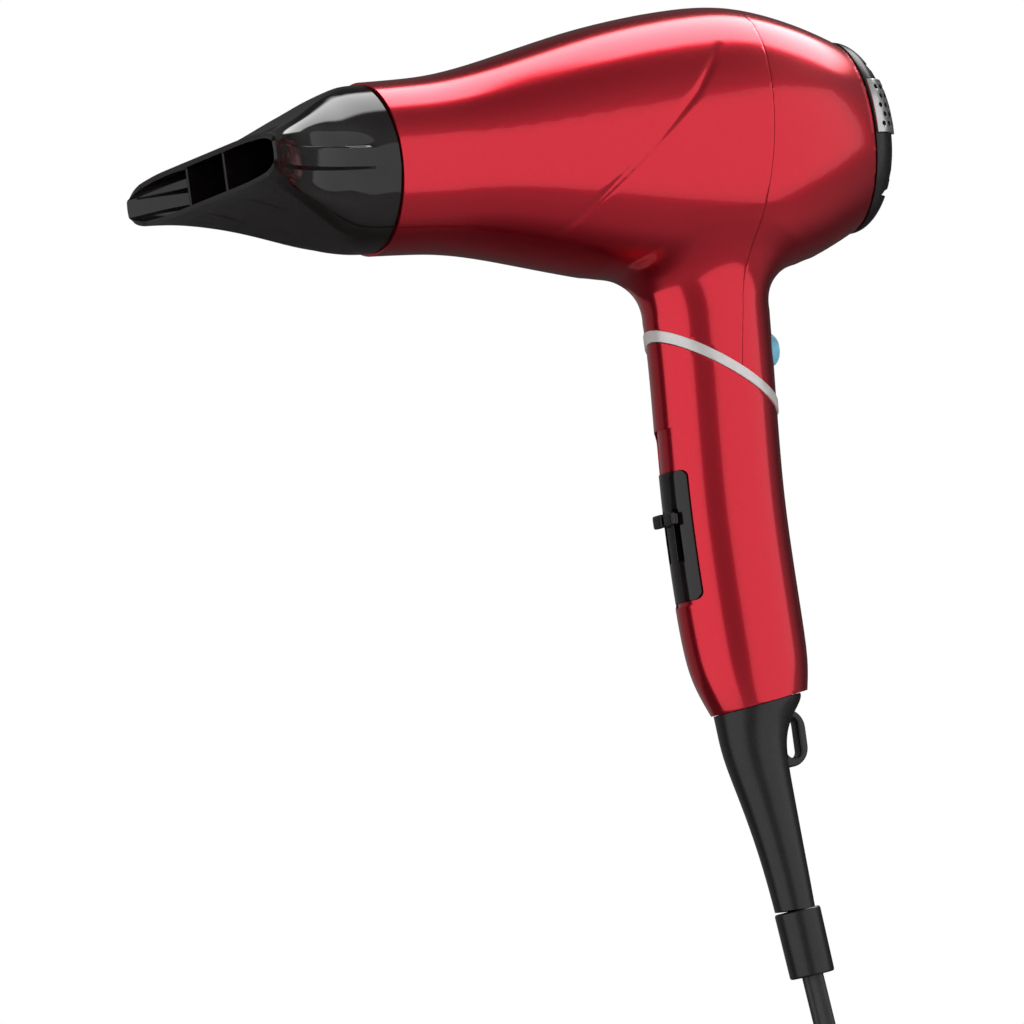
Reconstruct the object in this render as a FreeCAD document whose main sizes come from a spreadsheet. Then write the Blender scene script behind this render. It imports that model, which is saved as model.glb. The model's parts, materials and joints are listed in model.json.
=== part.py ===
"""Hand-held hair dryer, as the separate pieces it comes apart into.

Frame, in millimetres: +Z up, the barrel lies along X with its air outlet at -X, and the origin is the
middle of the hand grip, where a hand or a stand holds it. The handle hangs down from the barrel.
"""

import FreeCAD, Part
import math
import os
import re

import Sketcher
from FreeCAD import Placement, Rotation, Vector

# ---------------------------------------------------------------- driving dimensions
SIZES = {
    # barrel and body shell
    "axis_height": 107.0, "wall": 2.0, "seam_gap": 0.12,
    "rim_x": -105.0, "stern_x": 57.0,
    "seam_x": 16.0, "seam_lean": 9.5, "neck_top": 60.0,
    # silver band round the handle
    "band_x": 2.85, "band_z": 37.5, "band_tilt": 33.2, "band_thick": 3.0, "band_proud": 0.45,
    # grip
    "grip_foot_z": -62.0, "grip_foot_slope": 8.9, "grip_wall": 2.2,
    # concentrator nozzle
    "nozzle_wall": 1.6, "mouth_x": -158.0,
    "spigot_radius": 22.9, "spigot_long": 10.0, "vane_thick": 1.2, "vane_side": 12.6, "vane_in": 1.0,
    "vane_long": 27.0, "nozzle_gap": 0.3,
    # outlet grille and heater
    "grille_radius": 23.9, "grille_thick": 3.0, "grille_x": -93.0, "grille_bar": 1.4,
    "shield_radius": 22.6, "shield_wall": 0.5, "shield_x": -90.0, "shield_long": 56.0,
    "mica_thick": 0.8, "mica_half": 18.6, "mica_x": -88.0, "mica_half_long": 25.0, "mica_slot": 0.45,
    "coil_radius": 20.2, "coil_wire": 0.9, "coil_pitch": 6.0, "coil_count": 7,
    # fan, motor and the duct that holds them
    "duct_radius": 28.2, "duct_wall": 1.2, "duct_x": -26.0, "duct_long": 50.0,
    "motor_radius": 13.6, "motor_x": -21.0, "motor_long": 28.0, "can_wall": 1.2,
    "hub_wall": 1.4, "stator_long": 20.0,
    "shaft_radius": 1.15, "bush_radius": 3.2, "bush_long": 3.0, "shaft_play": 0.03,
    "fan_x": 11.0, "fan_long": 10.0, "fan_hub": 12.0, "fan_radius": 26.2,
    # rear air inlet
    "cap_depth": 13.0, "cap_wall": 1.8, "cap_rim": 5.0, "cap_gap": 0.35, "insert_proud": 0.9,
    "louvre": 2.4, "louvre_pitch": 4.8, "mesh_thick": 0.6,
    # switches
    "plate_half": 8.0, "plate_top": 9.5, "plate_foot": -29.5, "plate_wall": 1.9,
    "recess_half": 9.3, "recess_top": 22.5, "recess_foot": -31.0, "recess_deep": 0.9,
    "slot_wide": 2.6, "slot_top": -1.8, "slot_foot": -17.6, "slot_side": 3.4,
    "knob_stem_half": 1.0, "knob_z": -4.6, "knob_wide": 2.6, "knob_high": 2.0, "knob_proud": 1.7,
    "cool_z": 44.0, "cool_radius": 5.0,
    # cord boot and collar
    "boot_foot_z": -124.6, "collar_long": 20.0, "collar_tilt": 6.3,
    "loop_wide": 4.6, "loop_thick": 2.7, "loop_x": 16.6, "loop_top": -64.5, "loop_foot": -82.0,
    # mains lead
    "lead_wide": 7.0, "lead_thick": 3.5, "lead_loops": 5, "hank_pitch": 7.4,
    "hank_x": -5.5, "hank_z": -262.0, "fold_radius": 21.0, "fold_offset": 52.0, "waist_half": 9.0,
    # plug
    "plug_x": -13.0, "plug_top_z": -381.0, "plug_long": 60.0, "plug_deep": 27.0,
    "plug_round": 4.0, "blade_gap": 12.7, "blade_wide": 6.3, "blade_long": 17.5, "blade_leaf": 1.5,
    "blade_hole": 1.6, "blade_hole_in": 5.8,
}

# The body's oval sections: x, half height, half width.
BODY_SECTIONS = [
    (-105.0, 25.8, 25.8), (-94.0, 26.1, 26.0), (-82.5, 26.5, 26.2), (-69.0, 28.8, 27.9),
    (-55.0, 32.2, 30.1), (-41.5, 35.5, 31.9), (-28.0, 38.5, 33.4), (-8.0, 41.5, 34.6),
    (12.6, 43.0, 34.8), (26.0, 41.3, 33.2), (40.0, 37.0, 29.6), (50.0, 32.8, 25.9),
    (57.0, 29.4, 22.9),
]
# The handle's oval sections: z, centre x, half depth along x, half width along y.
HANDLE_SECTIONS = [
    (94.0, 2.4, 36.0, 25.5), (80.0, 2.8, 28.2, 20.8), (71.5, 3.1, 23.2, 18.0), (64.0, 3.2, 20.9, 16.3),
    (54.0, 3.1, 20.1, 15.7), (42.0, 2.7, 19.9, 15.5), (21.0, 1.2, 19.7, 15.4),
    (0.0, 0.0, 19.6, 15.3), (-18.0, 0.0, 19.6, 15.3), (-36.5, 0.4, 19.6, 15.3),
    (-48.5, 1.0, 19.2, 15.0), (-56.0, 1.6, 17.9, 13.9), (-66.0, 2.8, 14.6, 11.4),
]
# The nozzle's sections: x, half height, half width, squareness.
NOZZLE_SECTIONS = [
    (-105.3, 25.1, 25.1, 2.0), (-112.0, 24.9, 25.1, 2.0), (-119.0, 22.6, 25.9, 2.1),
    (-126.0, 18.6, 27.6, 2.3), (-137.0, 13.0, 31.5, 2.8), (-148.0, 8.8, 38.2, 3.5), (-158.0, 7.2, 51.5, 4.6),
]
# The cord boot's sections: z, centre x, half depth along x, half width along y.
BOOT_SECTIONS = [
    (-62.4, 2.2, 14.3, 11.2), (-67.0, 0.2, 11.9, 9.8), (-73.0, -0.9, 10.3, 8.9), (-80.0, -0.5, 9.6, 8.4),
    (-91.0, 1.4, 8.4, 7.5), (-103.0, 3.2, 7.3, 6.7), (-115.0, 4.7, 6.6, 6.2), (-124.6, 5.6, 6.2, 5.9),
]
# The lead's route where it isn't folded: from the collar to the hank, and from the hank to the plug.
LEAD_ROUTE = [(8.5, 0.0, -144.6), (10.4, 0.3, -159.0), (12.0, 0.0, -173.5), (12.8, -0.4, -188.0)]
TAIL_ROUTE = [(-24.0, 0.4, -336.3), (-22.6, 0.0, -346.0), (-19.4, -0.4, -356.0), (-16.6, 0.0, -366.0)]

os.makedirs("parts", exist_ok=True)
doc = FreeCAD.newDocument("HairDryer")
sheet = doc.addObject("Spreadsheet::Sheet", "Sizes")
for row, (alias, number) in enumerate(SIZES.items(), start=1):
    sheet.set(f"A{row}", alias)
    sheet.set(f"B{row}", str(number))
    sheet.setAlias(f"B{row}", alias)
doc.recompute()
SUB_PARTS = []


def mm(alias):
    """A size as the sheet holds it."""
    return float(sheet.get(alias))


def bound(expression):
    """The expression with each size's name pointing at its cell."""
    def point_at(word):
        return "Sizes." + word[0] if word[0] in SIZES else word[0]
    return re.sub(r"[a-z_]+", point_at, str(expression))


def keep(piece, label):
    """Names the finished sub-part, which is written to a file of that name."""
    piece.Label = label
    SUB_PARTS.append(piece)
    return piece


def facing_x(x, y=0.0, z=None, roll=0.0):
    """A place on the barrel's axis whose own Z runs along +X and whose own X points down."""
    height = mm("axis_height") if z is None else z
    return Placement(Vector(x, y, height), Rotation(Vector(0, 1, 0), 90) * Rotation(Vector(0, 0, 1), roll))


# ---------------------------------------------------------------- helpers: sketches and bodies
def new_body(name):
    body = doc.addObject("PartDesign::Body", name + "_body")
    return body


def new_sketch(body, plane, name, offset=0.0):
    sketch = body.newObject("Sketcher::SketchObject", name)
    support = next(item for item in body.Origin.OriginFeatures if item.Role == plane)
    sketch.AttachmentSupport = [(support, "")]
    sketch.MapMode = "FlatFace"
    sketch.AttachmentOffset = Placement(Vector(0, 0, offset), Rotation())
    return sketch


def number(expression):
    """The value of a sum or difference of sizes and numbers, such as 'wall + 2'."""
    total, sign = 0.0, 1.0
    for word in re.findall(r"[+-]|[a-z_]+|[0-9.]+", str(expression)):
        if word in "+-":
            sign = -1.0 if word == "-" else 1.0
        else:
            total += sign * (mm(word) if word in SIZES else float(word))
            sign = 1.0
    return total


def fix_length(sketch, kind, first, expression):
    """A dimension of the sketch bound to the sheet, measured from the sketch's origin."""
    value = number(expression)
    if abs(value) < 1e-9:
        axis = -2 if kind == "DistanceX" else -1
        sketch.addConstraint(Sketcher.Constraint("PointOnObject", *first, axis))
        return
    index = sketch.addConstraint(Sketcher.Constraint(kind, -1, 1, *first, value))
    sketch.setExpression(f"Constraints[{index}]", bound(expression))


def polygon(sketch, corners):
    """A closed outline whose corners are pairs of expressions."""
    spots = [Vector(number(x), number(y), 0) for x, y in corners]
    start = sketch.GeometryCount
    for index, spot in enumerate(spots):
        after = spots[(index + 1) % len(spots)]
        sketch.addGeometry(Part.LineSegment(spot, after), False)
    for index, (x, y) in enumerate(corners):
        line = start + index
        following = start + (index + 1) % len(corners)
        sketch.addConstraint(Sketcher.Constraint("Coincident", line, 2, following, 1))
        fix_length(sketch, "DistanceX", (line, 1), x)
        fix_length(sketch, "DistanceY", (line, 1), y)


def rectangle(sketch, half_x, half_y, x="0", y="0"):
    polygon(sketch, [(f"{x} - {half_x}", f"{y} - {half_y}"), (f"{x} + {half_x}", f"{y} - {half_y}"),
                     (f"{x} + {half_x}", f"{y} + {half_y}"), (f"{x} - {half_x}", f"{y} + {half_y}")])


def circle(sketch, radius, x="0", y="0"):
    line = sketch.GeometryCount
    sketch.addGeometry(Part.Circle(Vector(number(x), number(y), 0), Vector(0, 0, 1), number(radius)), False)
    fix_length(sketch, "DistanceX", (line, 3), x)
    fix_length(sketch, "DistanceY", (line, 3), y)
    index = sketch.addConstraint(Sketcher.Constraint("Radius", line, number(radius)))
    sketch.setExpression(f"Constraints[{index}]", bound(radius))


def revolved(label, outline, place):
    """A turned piece: corners (radius, height) spun about the body's own Z axis."""
    body = new_body(label)
    sketch = new_sketch(body, "XZ_Plane", label + "_outline")
    polygon(sketch, outline)
    spin = body.newObject("PartDesign::Revolution", label + "_spin")
    spin.Profile = sketch
    spin.ReferenceAxis = (sketch, ["V_Axis"])
    spin.Angle = 360
    body.Placement = place
    return body


def pad(body, sketch, length, name, both_ways=False):
    feature = body.newObject("PartDesign::Pad", name)
    feature.Profile = sketch
    feature.setExpression("Length", bound(length))
    feature.Midplane = both_ways
    return feature


def pocket_through(body, sketch, name):
    feature = body.newObject("PartDesign::Pocket", name)
    feature.Profile = sketch
    feature.Type = "ThroughAll"
    feature.Midplane = True
    return feature


def polar(body, feature, count, name):
    pattern = body.newObject("PartDesign::PolarPattern", name)
    pattern.Originals = [feature]
    pattern.Axis = (next(item for item in body.Origin.OriginFeatures if item.Role == "Z_Axis"), [""])
    pattern.Angle = 360
    pattern.Occurrences = count
    body.Tip = pattern
    return pattern


def round_edges(body, chosen, radius, name):
    """Fillets the edges of the body's last feature that the test picks."""
    doc.recompute()
    edges = [f"Edge{index}" for index, edge in enumerate(body.Tip.Shape.Edges, start=1) if chosen(edge)]
    base = body.Tip
    fillet = body.newObject("PartDesign::Fillet", name)
    fillet.Base = (base, edges)
    fillet.setExpression("Radius", bound(radius))
    return fillet


def upright(edge):
    box = edge.BoundBox
    return box.ZLength > 4 * max(box.XLength, box.YLength, 0.001)


def block(name, low, high):
    """A box between two corners, as numbers."""
    box = doc.addObject("Part::Box", name)
    box.Length = high[0] - low[0]
    box.Width = high[1] - low[1]
    box.Height = high[2] - low[2]
    box.Placement = Placement(Vector(*low), Rotation())
    return box


def cylinder(name, radius, height, place):
    piece = doc.addObject("Part::Cylinder", name)
    piece.setExpression("Radius", bound(radius))
    piece.setExpression("Height", bound(height))
    piece.Placement = place
    return piece


def cut(name, base, tool):
    piece = doc.addObject("Part::Cut", name)
    piece.Base = base
    piece.Tool = tool
    return piece


def common(name, base, tool):
    piece = doc.addObject("Part::Common", name)
    piece.Base = base
    piece.Tool = tool
    return piece


def fuse(name, pieces):
    piece = doc.addObject("Part::MultiFuse", name)
    piece.Shapes = pieces
    return piece


def shaped(name, shape, place=None):
    """A free-form piece, which no sketch or primitive gives."""
    piece = doc.addObject("Part::Feature", name)
    piece.Shape = shape
    if place is not None:
        piece.Placement = place
    return piece


# ---------------------------------------------------------------- helpers: free-form shapes
def oval(centre, across, up, half_across, half_up, power=2.0):
    """A closed smooth outline: an ellipse at power 2, squarer as the power grows."""
    steps = 24 if power <= 2.0 else 40
    spots = []
    for step in range(steps):
        angle = 2 * math.pi * step / steps
        side = math.copysign(abs(math.cos(angle)) ** (2 / power), math.cos(angle))
        rise = math.copysign(abs(math.sin(angle)) ** (2 / power), math.sin(angle))
        spots.append(centre + across * (half_across * side) + up * (half_up * rise))
    curve = Part.BSplineCurve()
    curve.interpolate(Points=spots, PeriodicFlag=True)
    return Part.Wire([curve.toShape()])


def body_loft(grow, reach=0.0):
    """The barrel and motor housing as one solid, grown or shrunk all round; reach lengthens its ends."""
    wires = []
    last = len(BODY_SECTIONS) - 1
    for index, (x, half_up, half_wide) in enumerate(BODY_SECTIONS):
        along = x - reach if index == 0 else x + reach if index == last else x
        centre = Vector(along, 0, mm("axis_height"))
        wires.append(oval(centre, Vector(0, 1, 0), Vector(0, 0, 1), half_wide + grow, half_up + grow))
    return Part.makeLoft(wires, True, False)


def handle_loft(grow):
    wires = []
    for z, x, half_deep, half_wide in HANDLE_SECTIONS:
        centre = Vector(x, 0, z)
        wires.append(oval(centre, Vector(1, 0, 0), Vector(0, 1, 0), half_deep + grow, half_wide + grow))
    return Part.makeLoft(wires, True, False)


def nozzle_loft(grow, reach=0.0):
    wires = []
    last = len(NOZZLE_SECTIONS) - 1
    for index, (x, half_up, half_wide, power) in enumerate(NOZZLE_SECTIONS):
        along = x + reach if index == 0 else x - reach if index == last else x
        centre = Vector(along, 0, mm("axis_height"))
        across, up = Vector(0, 1, 0), Vector(0, 0, 1)
        wires.append(oval(centre, across, up, half_wide + grow, half_up + grow, power))
    return Part.makeLoft(wires, True, False)


def boot_loft():
    wires = []
    for z, x, half_deep, half_wide in BOOT_SECTIONS:
        wires.append(oval(Vector(x, 0, z), Vector(1, 0, 0), Vector(0, 1, 0), half_deep, half_wide))
    return Part.makeLoft(wires, True, False)


FAR = 400.0


def half_space(point, normal):
    """A block that fills the side of a plane that its normal points to."""
    place = Placement(point, Rotation(Vector(0, 0, 1), normal))
    cube = Part.makeBox(FAR, FAR, FAR, Vector(-FAR / 2, -FAR / 2, 0))
    cube.Placement = place
    return cube


def seam_normal():
    lean = math.radians(mm("seam_lean"))
    return Vector(math.cos(lean), 0, -math.sin(lean))


def seam_point(shift=0.0):
    return Vector(mm("seam_x"), 0, mm("axis_height")) + seam_normal() * shift


def band_normal():
    tilt = math.radians(mm("band_tilt"))
    return Vector(math.sin(tilt), 0, math.cos(tilt))


def band_point(shift):
    """A point on the plane that lies that far above the middle of the silver band."""
    return Vector(mm("band_x"), 0, mm("band_z")) + band_normal() * shift


def foot_normal():
    slope = math.radians(mm("grip_foot_slope"))
    return Vector(-math.sin(slope), 0, math.cos(slope))


def tangent_path(route):
    """Straight runs joined by tangent arcs; returns the wire and the arcs' radii."""
    spots = [Vector(*spot) for spot in route]
    edges, radii, start = [], [], spots[0]
    for before, corner, after in zip(spots, spots[1:], spots[2:]):
        run_in, run_out = corner - before, after - corner
        shorter = min(run_in.Length, run_out.Length)
        way_in, way_out = run_in.normalize(), run_out.normalize()
        half_turn = way_in.getAngle(way_out) / 2
        setback = 0.45 * shorter
        radii.append(setback / math.tan(half_turn))
        arc_start, arc_end = corner - way_in * setback, corner + way_out * setback
        inward = (way_out - way_in).normalize()
        middle = corner + inward * (radii[-1] / math.cos(half_turn) - radii[-1])
        edges.append(Part.LineSegment(start, arc_start).toShape())
        edges.append(Part.Arc(arc_start, middle, arc_end).toShape())
        start = arc_end
    edges.append(Part.LineSegment(start, spots[-1]).toShape())
    return Part.Wire(edges), radii


def flat_lead_section(start, way):
    """The lead's outline, two round cores side by side along X, as one rounded bar."""
    half_flat = (mm("lead_wide") - mm("lead_thick")) / 2
    radius = mm("lead_thick") / 2
    side = Vector(1, 0, 0) - way * way.x
    side.normalize()
    front = way.cross(side)
    ends = [start + side * half_flat, start - side * half_flat]
    first = Part.Arc(ends[0] - front * radius, ends[0] + side * radius, ends[0] + front * radius)
    second = Part.Arc(ends[1] + front * radius, ends[1] - side * radius, ends[1] - front * radius)
    return Part.Wire([
        first.toShape(), Part.LineSegment(ends[0] + front * radius, ends[1] + front * radius).toShape(),
        second.toShape(), Part.LineSegment(ends[1] - front * radius, ends[0] - front * radius).toShape(),
    ])


def flat_lead(name, route):
    wire, radii = tangent_path(route)
    way = (Vector(*route[1]) - Vector(*route[0])).normalize()
    section = flat_lead_section(Vector(*route[0]), way)
    solid = wire.makePipeShell([section], True, True)
    area = Part.Face(section).Area
    print(f"{name}: length {wire.Length:.1f}, radii {[round(radius) for radius in radii]}, "
          f"volume {solid.Volume:.0f} against {area * wire.Length:.0f}")
    return solid


def wire_run(route, radius):
    """A round insulated wire along a route inside the case."""
    path, _ = tangent_path(route)
    way = (Vector(*route[1]) - Vector(*route[0])).normalize()
    ring = Part.Wire([Part.Circle(Vector(*route[0]), way, radius).toShape()])
    return path.makePipeShell([ring], True, True)


# ---------------------------------------------------------------- shells
def below_band():
    """The part of the handle under the silver band, as a block to cut the shells with."""
    neck_top = mm("neck_top")
    around = Part.makeBox(90, 80, neck_top + 80, Vector(-40, -40, -80))
    return around.common(half_space(band_point(mm("band_thick") / 2), band_normal() * -1))


def make_shells():
    """Front and rear shells, split on a leaning plane; the handle flares where it meets the barrel."""
    outer = body_loft(0).fuse(handle_loft(0))
    wall = mm("wall")
    hollow = body_loft(-wall, reach=1.0).fuse(handle_loft(-wall))
    shell = outer.cut(hollow)
    shell = shell.cut(below_band())
    button_hole = Part.makeCylinder(mm("cool_radius") + 0.3, 20, Vector(18, 0, mm("cool_z")), Vector(1, 0, 0))
    front = shell.common(half_space(seam_point(-mm("seam_gap") / 2), seam_normal() * -1))
    rear = shell.common(half_space(seam_point(mm("seam_gap") / 2), seam_normal())).cut(button_hole)
    keep(shaped("front_shell", front), "front_shell")
    keep(shaped("rear_shell", rear), "rear_shell")


def window(half_wide, top, foot):
    """A long block at the front of the handle, as wide and tall as a window in it."""
    return Part.makeBox(30, 2 * half_wide, top - foot, Vector(-35, -half_wide, foot))


def make_grip():
    grip = handle_loft(0).cut(handle_loft(-mm("grip_wall")))
    grip = grip.common(half_space(band_point(-mm("band_thick") / 2), band_normal() * -1))
    grip = grip.common(half_space(Vector(2.4, 0, mm("grip_foot_z")), foot_normal()))
    skin = handle_loft(0.5).cut(handle_loft(-mm("recess_deep")))
    grip = grip.cut(skin.common(window(mm("recess_half"), mm("recess_top"), mm("recess_foot"))))
    grip = grip.cut(window(mm("plate_half") + 0.1, mm("plate_top") + 0.1, mm("plate_foot") - 0.1))
    keep(shaped("grip_sleeve", grip), "grip_sleeve")


def make_band():
    ring = handle_loft(mm("band_proud")).cut(handle_loft(-mm("wall")))
    half = mm("band_thick") / 2 - 0.03
    ring = ring.common(half_space(band_point(-half), band_normal()))
    ring = ring.common(half_space(band_point(half), band_normal() * -1))
    keep(shaped("trim_band", ring), "trim_band")


# ---------------------------------------------------------------- nozzle
def tube_core(radius, start_x, length):
    """A solid cylinder on the barrel's axis that runs back from start_x."""
    return Part.makeCylinder(radius, length, Vector(start_x, 0, mm("axis_height")), Vector(1, 0, 0))


def make_nozzle():
    """One moulding: the flared duct, two vanes across its mouth and the spigot that plugs in."""
    duct = nozzle_loft(0).cut(nozzle_loft(-mm("nozzle_wall"), reach=1.0))
    for side in (-1, 1):
        across = side * mm("vane_side") - mm("vane_thick") / 2
        corner = Vector(mm("mouth_x") + mm("vane_in"), across, mm("axis_height") - 30)
        vane = Part.makeBox(mm("vane_long"), mm("vane_thick"), 60, corner)
        duct = duct.fuse(vane.common(nozzle_loft(-0.4)))
    back_x = mm("rim_x") - mm("nozzle_gap")
    shoulder = tube_core(24.6, back_x - 3, 3.0)
    spigot = tube_core(mm("spigot_radius"), back_x - 3, mm("spigot_long") + 3)
    bore = tube_core(mm("spigot_radius") - mm("nozzle_wall"), back_x - 5, 20)
    duct = duct.fuse(shoulder.fuse(spigot).cut(bore)).removeSplitter()
    keep(shaped("concentrator", duct), "concentrator")


# ---------------------------------------------------------------- outlet grille and heater
def make_outlet_grille():
    """A ring with three inner rings on six spokes, which keeps fingers off the heater."""
    place = facing_x(mm("grille_x"))
    body = new_body("outlet_grille")
    rim = new_sketch(body, "XY_Plane", "grille_rim")
    circle(rim, "grille_radius")
    circle(rim, "grille_radius - 1.6")
    pad(body, rim, "grille_thick", "grille_rim_pad")
    for index, radius in enumerate((5.0, 11.0, 16.5)):
        ring = new_sketch(body, "XY_Plane", f"grille_ring_{index}")
        circle(ring, f"{radius} + grille_bar")
        circle(ring, str(radius))
        pad(body, ring, "grille_thick - 1", f"grille_ring_pad_{index}")
    spoke = new_sketch(body, "XY_Plane", "grille_spoke")
    polygon(spoke, [("5.5", "0 - 0.7"), ("grille_radius - 0.8", "0 - 0.7"), ("grille_radius - 0.8", "0.7"),
                    ("5.5", "0.7")])
    polar(body, pad(body, spoke, "grille_thick - 1", "grille_spoke_pad"), 6, "grille_spokes")
    body.Placement = place
    keep(body, "outlet_grille")


def make_heater():
    """A heat-shield tube round two crossed mica boards, wound with resistance wire."""
    body = new_body("heat_shield")
    tube = new_sketch(body, "XY_Plane", "shield_ring")
    circle(tube, "shield_radius")
    circle(tube, "shield_radius - shield_wall")
    pad(body, tube, "shield_long", "shield_pad")
    body.Placement = facing_x(mm("shield_x"))
    keep(body, "heat_shield")
    slots = (("mica_board_upright", 0, "mica_half_long", "mica_half_long + mica_half_long + 1"),
             ("mica_board_level", 90, "0 - 1", "mica_half_long + 0.1"))
    for label, turn, low, high in slots:
        board = new_body(label)
        outline = new_sketch(board, "XZ_Plane", label + "_outline")
        rectangle(outline, "mica_half", "mica_half_long", y="mica_half_long")
        pad(board, outline, "mica_thick", label + "_pad", both_ways=True)
        slot = new_sketch(board, "XZ_Plane", label + "_slot")
        polygon(slot, [("0 - mica_slot", low), ("mica_slot", low),
                       ("mica_slot", high), ("0 - mica_slot", high)])
        pocket_through(board, slot, label + "_slot_cut")
        board.Placement = facing_x(mm("mica_x"), roll=turn)
        keep(board, label)
    rings = []
    for index in range(int(mm("coil_count"))):
        ring = doc.addObject("Part::Torus", f"coil_turn_{index}")
        ring.setExpression("Radius1", bound("coil_radius"))
        ring.setExpression("Radius2", bound("coil_wire"))
        ring.Placement = facing_x(mm("mica_x") + 6 + index * mm("coil_pitch"))
        rings.append(ring)
    coils = doc.addObject("Part::Compound", "coil_turns")
    coils.Links = rings
    keep(coils, "heating_coils")
    sensor = doc.addObject("Part::Box", "thermostat_case")
    sensor.Length, sensor.Width, sensor.Height = 9, 4, 6
    sensor.Placement = Placement(Vector(-70, mm("mica_thick") / 2, mm("axis_height") + 5), Rotation())
    keep(sensor, "thermostat")
    fuse_place = facing_x(-72, y=-(1.8 + mm("mica_thick") / 2), z=mm("axis_height") - 8)
    fuse_case = cylinder("fuse_case", "1.8", "10", fuse_place)
    keep(fuse_case, "thermal_fuse")


# ---------------------------------------------------------------- motor and fan
def make_motor_mount():
    """The duct with its motor cup, joined by nine vanes that straighten the air."""
    body = new_body("motor_mount")
    walls = new_sketch(body, "XY_Plane", "duct_ring")
    circle(walls, "duct_radius")
    circle(walls, "duct_radius - duct_wall")
    pad(body, walls, "duct_long", "duct_pad")
    cup = new_sketch(body, "XY_Plane", "cup_ring")
    circle(cup, "motor_radius + hub_wall")
    circle(cup, "motor_radius + 0.05")
    pad(body, cup, "stator_long + 8", "cup_pad")
    vane = new_sketch(body, "XY_Plane", "vane_foot")
    polygon(vane, [("motor_radius + 0.7", "0 - 0.6"), ("duct_radius - 0.5", "0 - 0.6"),
                   ("duct_radius - 0.5", "0.6"), ("motor_radius + 0.7", "0.6")])
    polar(body, pad(body, vane, "stator_long", "vane_pad"), 9, "vanes")
    body.Placement = facing_x(mm("duct_x"))
    keep(body, "motor_mount")


def make_gasket():
    """A soft oval ring that holds the duct in the body shell and keeps its hum out of the case."""
    slab = Part.makeBox(3, 120, 120, Vector(6, -60, mm("axis_height") - 60))
    ring = body_loft(-mm("wall") - 0.05).common(slab)
    ring = ring.cut(tube_core(mm("duct_radius") + 0.02, 0, 20))
    keep(shaped("duct_gasket", ring), "duct_gasket")


def make_motor():
    """A small direct-current motor: steel can, magnets, wound armature, bushes and brushes."""
    start = mm("motor_x")
    can = revolved("motor_can", [
        ("bush_radius", "motor_long"), ("bush_radius", "motor_long - can_wall"),
        ("motor_radius - can_wall", "motor_long - can_wall"), ("motor_radius - can_wall", "0"),
        ("motor_radius", "0"), ("motor_radius", "motor_long"),
    ], facing_x(start))
    keep(can, "motor_can")
    end = revolved("motor_end_cap", [
        ("bush_radius", "0 - 2"), ("motor_radius", "0 - 2"), ("motor_radius", "0 - 0.05"),
        ("bush_radius", "0 - 0.05"),
    ], facing_x(start))
    keep(end, "motor_end_cap")
    for label, at in (("shaft_bush_rear", start + mm("motor_long") - 2.0), ("shaft_bush_front", start - 2.5)):
        bush = revolved(label, [
            ("shaft_radius + shaft_play", "0"), ("bush_radius", "0"), ("bush_radius", "bush_long"),
            ("shaft_radius + shaft_play", "bush_long"),
        ], facing_x(at))
        keep(bush, label)
    magnets = new_body("magnets")
    arcs = new_sketch(magnets, "XY_Plane", "magnet_ring")
    circle(arcs, "motor_radius - can_wall")
    circle(arcs, "motor_radius - can_wall - 2.4")
    pad(magnets, arcs, "18", "magnet_pad")
    split = new_sketch(magnets, "XY_Plane", "magnet_gap")
    rectangle(split, "3", "16")
    pocket_through(magnets, split, "magnet_split")
    magnets.Placement = facing_x(start + 5)
    keep(magnets, "motor_magnets")
    armature = revolved("armature", [
        ("0", "0 - 4"), ("shaft_radius", "0 - 4"), ("shaft_radius", "1.2"), ("3.2", "1.2"), ("3.2", "4.2"),
        ("7.4", "5.4"), ("9.2", "6.4"), ("9.2", "20"), ("7", "22"), ("shaft_radius", "22.6"),
        ("shaft_radius", "motor_long + 11"), ("0", "motor_long + 11"),
    ], facing_x(start))
    keep(armature, "armature")
    brushes = new_body("brushes")
    bars = new_sketch(brushes, "XZ_Plane", "brush_bars")
    rectangle(bars, "1.6", "1.2", x="5.1", y="2.6")
    rectangle(bars, "1.6", "1.2", x="0 - 5.1", y="2.6")
    pad(brushes, bars, "3", "brush_pad", both_ways=True)
    brushes.Placement = facing_x(start)
    keep(brushes, "motor_brushes")
    board = new_body("rectifier_board")
    disc = new_sketch(board, "XY_Plane", "board_disc")
    circle(disc, "12")
    circle(disc, "4.2")
    pad(board, disc, "1.2", "board_pad")
    for index, (x, y) in enumerate((("7.5", "4"), ("7.5", "0 - 4"), ("0 - 7.5", "4"), ("0 - 7.5", "0 - 4"))):
        diode = new_sketch(board, "XY_Plane", f"diode_{index}")
        rectangle(diode, "2.4", "1.3", x=x, y=y)
        lump = pad(board, diode, "2.4", f"diode_pad_{index}")
        lump.Reversed = True
    board.Placement = facing_x(start - 6.2)
    keep(board, "rectifier_board")
    screws = []
    for side in (-1, 1):
        screws.append(cylinder(f"motor_screw_{side}", "1.4", "2.5", facing_x(start - 4.6, y=side * 9.5)))
    pair = doc.addObject("Part::Compound", "motor_screw_pair")
    pair.Links = screws
    keep(pair, "motor_screws")


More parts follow.
